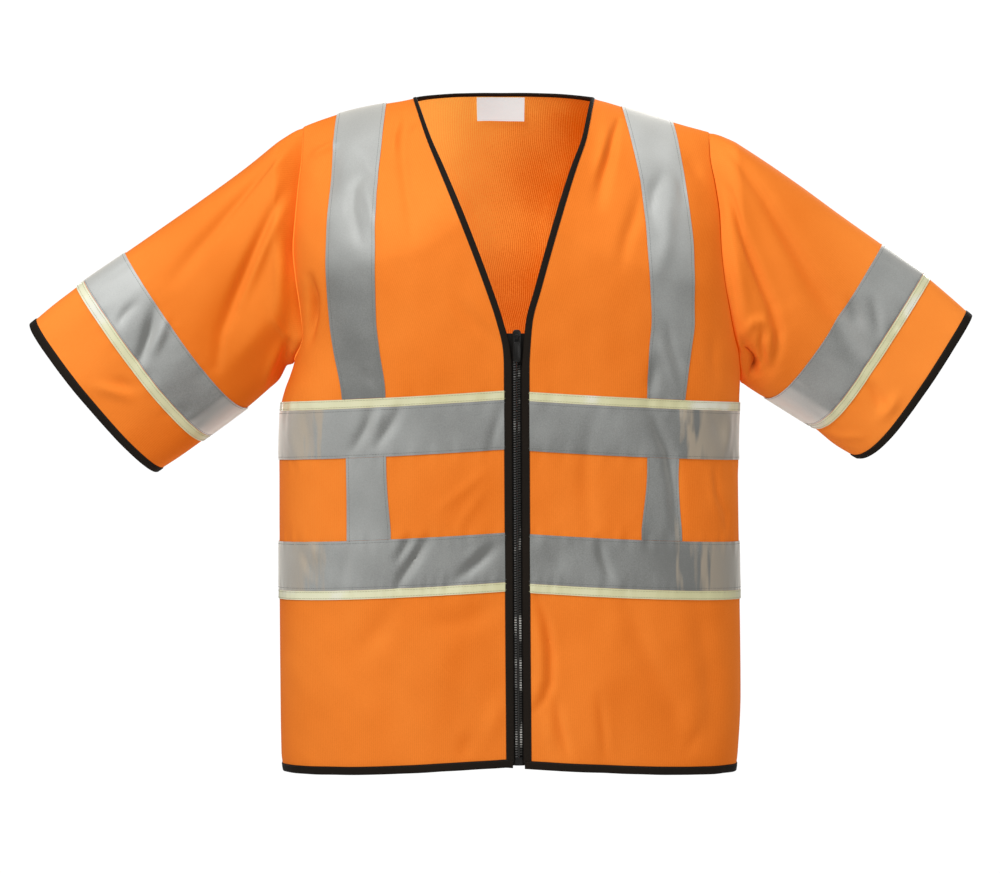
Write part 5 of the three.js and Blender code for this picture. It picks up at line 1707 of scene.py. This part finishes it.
    def build_bindings(self) -> None:
        """The bindings of the front edges, the neck and the hem."""
        leaf = np.linspace(1, 0, 7)[:, None]
        for side, panel in self.fronts.items():
            part = f"front_{side.word}"
            low = panel.row_at(HEM_Z + HEM_BINDING_WIDTH - 0.5, np.array(0.5))
            rows = np.concatenate([np.linspace(low, 1, 115), 1 + eased(80)[1:] * 0.9995])
            edge = panel.patch(*np.broadcast_arrays(leaf, rows[None, :]))
            bind(self.room, f"edge_binding_{side.word}", edge, part)
            self.bind_hem(panel, self.front_columns, part)
        self.bind_hem(self.back, self.back_columns, "back")
        across = np.linspace(-0.99, 0.99, 50)[None, :]
        rows = mix(1.9925, 2.0, np.linspace(0, 1, 6)[:, None])
        nape = self.back.patch(*np.broadcast_arrays(across, rows))
        bind(self.room, "neck_binding_back", nape, "back")

    def bind_hem(self, panel: Panel, columns: np.ndarray, part: str) -> None:
        """A hem's binding along a panel."""
        rows = panel.row_at(HEM_Z + HEM_BINDING_WIDTH, columns)[None, :] * np.linspace(1, 0, 6)[:, None]
        leaf = panel.patch(np.broadcast_to(columns, rows.shape), rows)
        bind(self.room, f"hem_binding_{part}", leaf, part)

    def build_label(self) -> None:
        """The bare label inside the back of the neck."""
        reach = float(abs(self.form.neck_x(np.array(1))))
        columns = np.linspace(-33.5 / self.nape_right, 20 / reach, 24)
        patch = self.back.patch(columns, np.linspace(1.991, 1.914, 12))
        wave = 0.3 * np.sin(np.linspace(0, 5, 24))[None, :]
        hang = -1.4 - 1.6 * np.linspace(0, 1, 12)[:, None] + wave
        self.room.sheet("neck_label", patch, Goods.LABEL, ["back"], hang)


def bind(room: Workroom, node: str, leaf: Patch, part: str) -> None:
    """Folds a binding over a cut edge of a part and sews it."""
    over = folded_over(leaf)
    room.sheet(node, over, Goods.BINDING, [part])
    lifted = over.moved(THREAD_LIFT)
    room.sew("black", lifted[0], lifted[1], 0.8, leaf.closed)


@dataclass
class Sleeve:
    """One sleeve with its tape, glow strip and binding."""

    room: Workroom
    torso: Torso
    side: Side
    around: int = 170

    def build(self) -> None:
        """Makes the sleeve and what is sewn on it."""
        form = SleeveForm(self.side, self.torso.fronts[self.side], self.torso.back)
        ways = np.arange(self.around) / self.around
        word, part = self.side.word, f"sleeve_{self.side.word}"
        hem = SLEEVE_HEM_RING - INSET / RING_MM
        runs = (
            (-1, 0, 14), (0, TAPE_RING, 64), (TAPE_RING, GLOW_RING, 17), (GLOW_RING, END_RING, 4),
            (END_RING, hem, 20),
        )
        parts = [np.linspace(first, last, count)[1:] for first, last, count in runs]
        rings = np.concatenate([[-1.0], *parts])
        self.room.sheet(part, form.patch(ways, rings), Goods.CLOTH)
        tape = form.patch(ways, np.linspace(TAPE_RING, GLOW_RING, TAPE_CELLS + 1))
        self.room.sheet(f"sleeve_tape_{word}", tape, Goods.SLEEVE_TAPE, [part], domed()[:, None])
        glow = form.patch(ways, np.linspace(GLOW_RING + 0.03, END_RING, 5))
        self.room.sheet(f"sleeve_glow_{word}", glow, Goods.GLOW, [part], GLOW_LIFT)
        leaf = form.patch(ways, np.linspace(SLEEVE_HEM_RING - HEM_BINDING_WIDTH / RING_MM, hem, 6))
        bind(self.room, f"sleeve_binding_{word}", leaf, part)
        self.room.sew_edges("grey", tape.moved(TAPE_LIFT + THREAD_LIFT), 0.8, True)
        self.room.sew_edges("cream", glow.moved(GLOW_LIFT + THREAD_LIFT), 0.7, True)


FORWARD = np.array((0.0, -1.0, 0.0))


@dataclass
class Zip:
    """The moulded zip's two woven tapes and two rows of teeth."""

    room: Workroom
    form: TorsoForm
    tape_edge: float = 15.0
    tape_behind: float = 2.6
    teeth_x: float = 2.35
    teeth_behind: float = 2.1
    box_height: float = 8.5

    def point(self, z: np.ndarray, across: Numbers, behind: Numbers) -> np.ndarray:
        """Points by the zip line, behind the outer face of the fronts."""
        x = self.form.zip_x(z) + across
        return np.stack([x, behind - self.form.depth(Face.FRONT, x, z), z + np.zeros_like(x)], axis=-1)

    def patch(self, z: np.ndarray, across: np.ndarray, behind: Numbers) -> Patch:
        """A patch that faces forwards, with rows at the heights z and columns across the zip."""
        points = self.point(*np.broadcast_arrays(z[:, None], across[None, :]), behind)
        return Patch(points, np.broadcast_to(FORWARD, points.shape))

    def build_tapes(self) -> None:
        """The woven tapes that carry the teeth."""
        z = np.linspace(ZIP_END_Z, ZIP_TOP_Z, 150)
        for side in Side:
            across = side.value * np.linspace(0.03, self.tape_edge, 9)
            patch = self.patch(z, across, self.tape_behind)
            self.room.sheet(f"zip_tape_{side.word}", patch, Goods.ZIP_TAPE, [f"front_{side.word}"])

    def build_teeth(self) -> None:
        """The two rows of teeth, half a step apart."""
        teeth = ZipTeeth()
        tree = teeth.tree()
        for side in Side:
            start = 1.2 if side is Side.RIGHT else 1.2 + teeth.pitch / 2
            z = np.linspace(ZIP_END_Z + self.box_height + start, ZIP_TOP_Z - 3, 160)
            line = self.point(z, side.value * self.teeth_x, self.teeth_behind)
            piece = lines_object(f"zip_teeth_{side.word}", [line])
            inputs = {"Inwards": float(-side.value), "Material": self.room.materials["zip_teeth"]}
            run_nodes(piece, tree, inputs)
            self.room.declare(piece, "zip_plastic", [f"zip_chain_{side.word}"])


@dataclass
class ZipHardware:
    """The box at the bottom of the zip, the slider and its pull tab.

    The slider stands in a frame of its own, sloping with the chain: its origin is on the pull's
    axis, +Z runs up the chain and the front plate faces -Y.
    """

    room: Workroom
    fastener: Zip
    width: float = 9.0
    drop: float = 9.8
    crown: float = 6.6
    front: float = 1.3
    plate: float = 1.2
    chain: float = 2.6
    gap: float = 0.3
    lug: float = 2.4
    lug_reach: float = 2.2
    post_width: float = 3.6
    bar_out: float = 3.4
    bar_thick: float = 0.8
    leg_out: float = 2.7
    leg_long: float = 3.1
    pull_width: float = 7.6
    pull_length: float = 26.0
    pull_thick: float = 1.2
    window: float = 3.2
    box_half: float = 4.2

    def __post_init__(self) -> None:
        """Finds the slider's frame on the chain."""
        high, low = (self.fastener.point(np.array(z), 0, 0.0) for z in (ZIP_TOP_Z, ZIP_TOP_Z - 13))
        behind = 1.8 - self.gap - self.plate - self.front
        origin = self.fastener.point(np.array(ZIP_TOP_Z - 3.2), 0, behind)
        self.place = Matrix.Translation(Vector(origin) * MM)
        self.slope = Matrix.Rotation(math.atan2(low[1] - high[1], high[2] - low[2]), 4, "X")

    def outline(self, width: float, low: float, high: float, power: float, count: int = 28) -> np.ndarray:
        """A rounded outline between two heights, x and z of each point."""
        turn = np.linspace(0, 2 * np.pi, count, endpoint=False)
        across, up = np.cos(turn), np.sin(turn)
        x = np.sign(across) * np.abs(across) ** (2 / power) * width / 2
        z = (low + high) / 2 + np.sign(up) * np.abs(up) ** (2 / power) * (high - low) / 2
        return np.stack([x, z], axis=1)

    def square(self, low: float, high: float) -> np.ndarray:
        """The outline of a bar of the lug between two heights."""
        half = self.lug / 2
        return np.array([(-half, low), (half, low), (half, high), (-half, high)])

    def slab(self, outline: np.ndarray, front: float, thick: float, soft: float) -> bmesh.types.BMesh:
        """A plate with softened edges.

        Args:
            outline: x and z of its points.
            front: y of its front face.
            thick: Its thickness.
            soft: How much its edges are softened.

        Returns:
            The mesh.
        """
        made = bmesh.new()
        rings = [[made.verts.new((x, y, z)) for x, z in outline] for y in (front, front + thick)]
        count = len(outline)
        made.faces.new(rings[0])
        made.faces.new(rings[1][::-1])
        for i in range(count):
            j = (i + 1) % count
            made.faces.new((rings[0][i], rings[1][i], rings[1][j], rings[0][j]))
        bmesh.ops.recalc_face_normals(made, faces=made.faces)
        rims = [e for e in made.edges if abs(e.verts[0].co.y - e.verts[1].co.y) < 1e-6]
        bmesh.ops.bevel(made, geom=rims, offset=soft, segments=2, affect="EDGES", profile=0.5)
        return made

    def finish(self, piece: bpy.types.Object, node: str, body: str = GARMENT) -> None:
        piece.data.materials.append(self.room.materials["zip_plastic"])
        self.room.declare(piece, "zip_plastic", [node], body)

    def piece(self, name: str, parts: Sequence[bmesh.types.BMesh], turn: Matrix) -> bpy.types.Object:
        """Joins parts into one piece in the garment's frame."""
        points, faces = [], []
        for part in parts:
            start = len(points)
            part.verts.index_update()
            points += [tuple(v.co) for v in part.verts]
            faces += [[start + v.index for v in face.verts] for face in part.faces]
            part.free()
        made = mesh_object(name, np.array(points), faces)
        made.data.transform(self.place @ turn)
        made.data.update()
        return made

    def build_slider(self) -> None:
        """Two plates joined by a post at the crown, with the lug that holds the pull tab."""
        rear = self.front + self.plate + self.chain + 2 * self.gap
        crowned = self.outline(self.width, -self.drop, self.crown, 3.4)
        reach = self.lug_reach
        parts = [
            self.slab(crowned, self.front, self.plate, 0.45),
            self.slab(crowned, rear, self.plate, 0.45),
            self.slab(
                self.outline(self.post_width, 3.7, 6.2, 3.0, 16), self.front + 0.6, rear - self.front, 0.2
            ),
            self.slab(self.square(-reach, reach), self.front - self.bar_out, self.bar_thick, 0.25),
        ]
        for low, high in ((-reach, -1.4), (1.4, reach)):
            leg = self.square(low, high)
            parts.append(self.slab(leg, self.front - self.leg_out, self.leg_long, 0.12))
        self.finish(self.piece("slider", parts, self.slope), "zip_slider")

    def build_pull_tab(self) -> None:
        """A tab with rounded corners, a window for the lug and a raised grip."""
        wide, low, thick = self.pull_width, -self.pull_length, self.pull_thick
        front, rail = -thick / 2, (self.pull_width - self.window) / 2
        parts = []
        for side in (-1, 1):
            outline = self.outline(rail, -5.4, 0.6, 6.0, 16) + np.array([side * (self.window + rail) / 2, 0])
            parts.append(self.slab(outline, front, thick, 0.18))
        parts.append(self.slab(self.outline(wide, -0.6, 0.6, 6.0, 20), front, thick, 0.18))
        parts.append(self.slab(self.outline(wide, low, -5.2, 5.0, 32), front, thick, 0.3))
        parts.append(self.slab(self.outline(wide - 3, low + 1.6, -8.0, 5.0, 24), front - 0.25, 0.5, 0.2))
        self.finish(self.piece("pull_tab_plate", parts, Matrix.Identity(4)), "zip_pull_tab", PULL_TAB)

    def build_box(self) -> None:
        """The box and pin that the zip starts in."""
        across = np.linspace(-self.box_half, self.box_half, 9)
        z = np.linspace(ZIP_END_Z, ZIP_END_Z + 8.3, 6)
        patch = self.fastener.patch(z, across, 1.2 + 0.5 * (across / self.box_half) ** 4)
        self.finish(shell("zip_box_body", patch, 0.0, 3.6), "zip_box")


@dataclass(frozen=True)
class Lamp:
    """A soft square lamp that points at the garment."""

    name: str
    place: tuple[float, float, float]
    size: float
    power: float

    def build(self) -> None:
        """Puts the lamp in the scene."""
        light = bpy.data.lights.new(self.name, "AREA")
        light.shape, light.size, light.energy = "SQUARE", self.size, self.power
        lamp = bpy.data.objects.new(self.name, light)
        lamp.location = self.place
        way = Vector((0.0, 0.0, -0.35)) - Vector(self.place)
        lamp.rotation_euler = way.to_track_quat("-Z", "Y").to_euler()
        shown(lamp)


@dataclass
class Studio:
    """A plain pale floor with soft light all round, and the camera."""

    scale: float = 1.04
    distance: float = 3.5
    middle: tuple[float, float] = (-0.0062, -0.3526)
    floor_z: float = -1.35
    floor_radius: float = 2.8
    sensor: float = 36.0
    lamps: tuple[Lamp, ...] = (
        Lamp("key", (-1.2, -1.9, 1.6), 0.9, 41),
        Lamp("fill", (1.5, -2.7, 0.4), 0.9, 11),
        Lamp("top", (0.3, -0.9, 1.7), 1.6, 14),
        Lamp("back_key", (1.3, 2.4, 1.3), 1.2, 40),
        Lamp("back_fill", (-1.8, 2.2, 0.3), 1.2, 10),
    )

    def build_room(self) -> None:
        """A round pale floor under the garment, seen only from above."""
        turn = np.linspace(0, 2 * np.pi, 96, endpoint=False)
        rim = np.stack([np.cos(turn), np.sin(turn), np.zeros(turn.size)], axis=1) * self.floor_radius
        rim[:, 2] = self.floor_z
        floor = mesh_object("floor", rim / MM, [tuple(range(turn.size))])
        paper = bpy.data.materials.new("pale_paper")
        paper.use_nodes = True
        tree = paper.node_tree
        tree.nodes.clear()
        pale = add(tree, "ShaderNodeBsdfPrincipled", {"Base Color": (0.86, 0.86, 0.86, 1), "Roughness": 0.9})
        below = add(tree, "ShaderNodeNewGeometry")["Backfacing"]
        either = {0: below, 1: pale, 2: add(tree, "ShaderNodeBsdfTransparent")}
        add(tree, "ShaderNodeOutputMaterial", {0: add(tree, "ShaderNodeMixShader", either)})
        floor.data.materials.append(paper)

    def build_lights(self) -> None:
        """A lamp from the upper left, weaker ones round about, and a white room that lights softly."""
        for lamp in self.lamps:
            lamp.build()
        world = bpy.data.worlds.new("studio")
        bpy.context.scene.world = world
        world.use_nodes = True
        tree = world.node_tree
        sky = tree.nodes["Background"]
        sky.inputs["Color"].default_value = (1, 1, 1, 1)
        strength = add(tree, "ShaderNodeLightPath")["Is Camera Ray"] * 0.75 + 0.3
        tree.links.new(strength.socket, sky.inputs["Strength"])

    def build_camera(self) -> None:
        """The camera, straight in front."""
        camera = bpy.data.cameras.new("camera")
        camera.sensor_width = self.sensor
        camera.lens = self.sensor * self.distance / self.scale
        seen = shown(bpy.data.objects.new("camera", camera))
        seen.location = (self.middle[0], -self.distance, self.middle[1])
        seen.rotation_euler = (math.pi / 2, 0, 0)
        bpy.context.scene.camera = seen
        bpy.context.scene.view_settings.view_transform = "Standard"


def main() -> None:
    """Builds everything in order."""
    logging.basicConfig(level=logging.INFO, format="%(message)s")
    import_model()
    studio = Studio()
    studio.build_camera()
    studio.build_room()
    studio.build_lights()
    room = Workroom()
    torso = Torso(room)
    torso.build_panels()
    torso.build_bands()
    torso.build_shoulder_tapes()
    torso.build_bindings()
    torso.build_label()
    for side in Side:
        Sleeve(room, torso, side).build()
    fastener = Zip(room, torso.form)
    fastener.build_tapes()
    fastener.build_teeth()
    hardware = ZipHardware(room, fastener)
    hardware.build_slider()
    hardware.build_pull_tab()
    hardware.build_box()
    room.make_stitches()


if __name__ == "__main__":
    main()
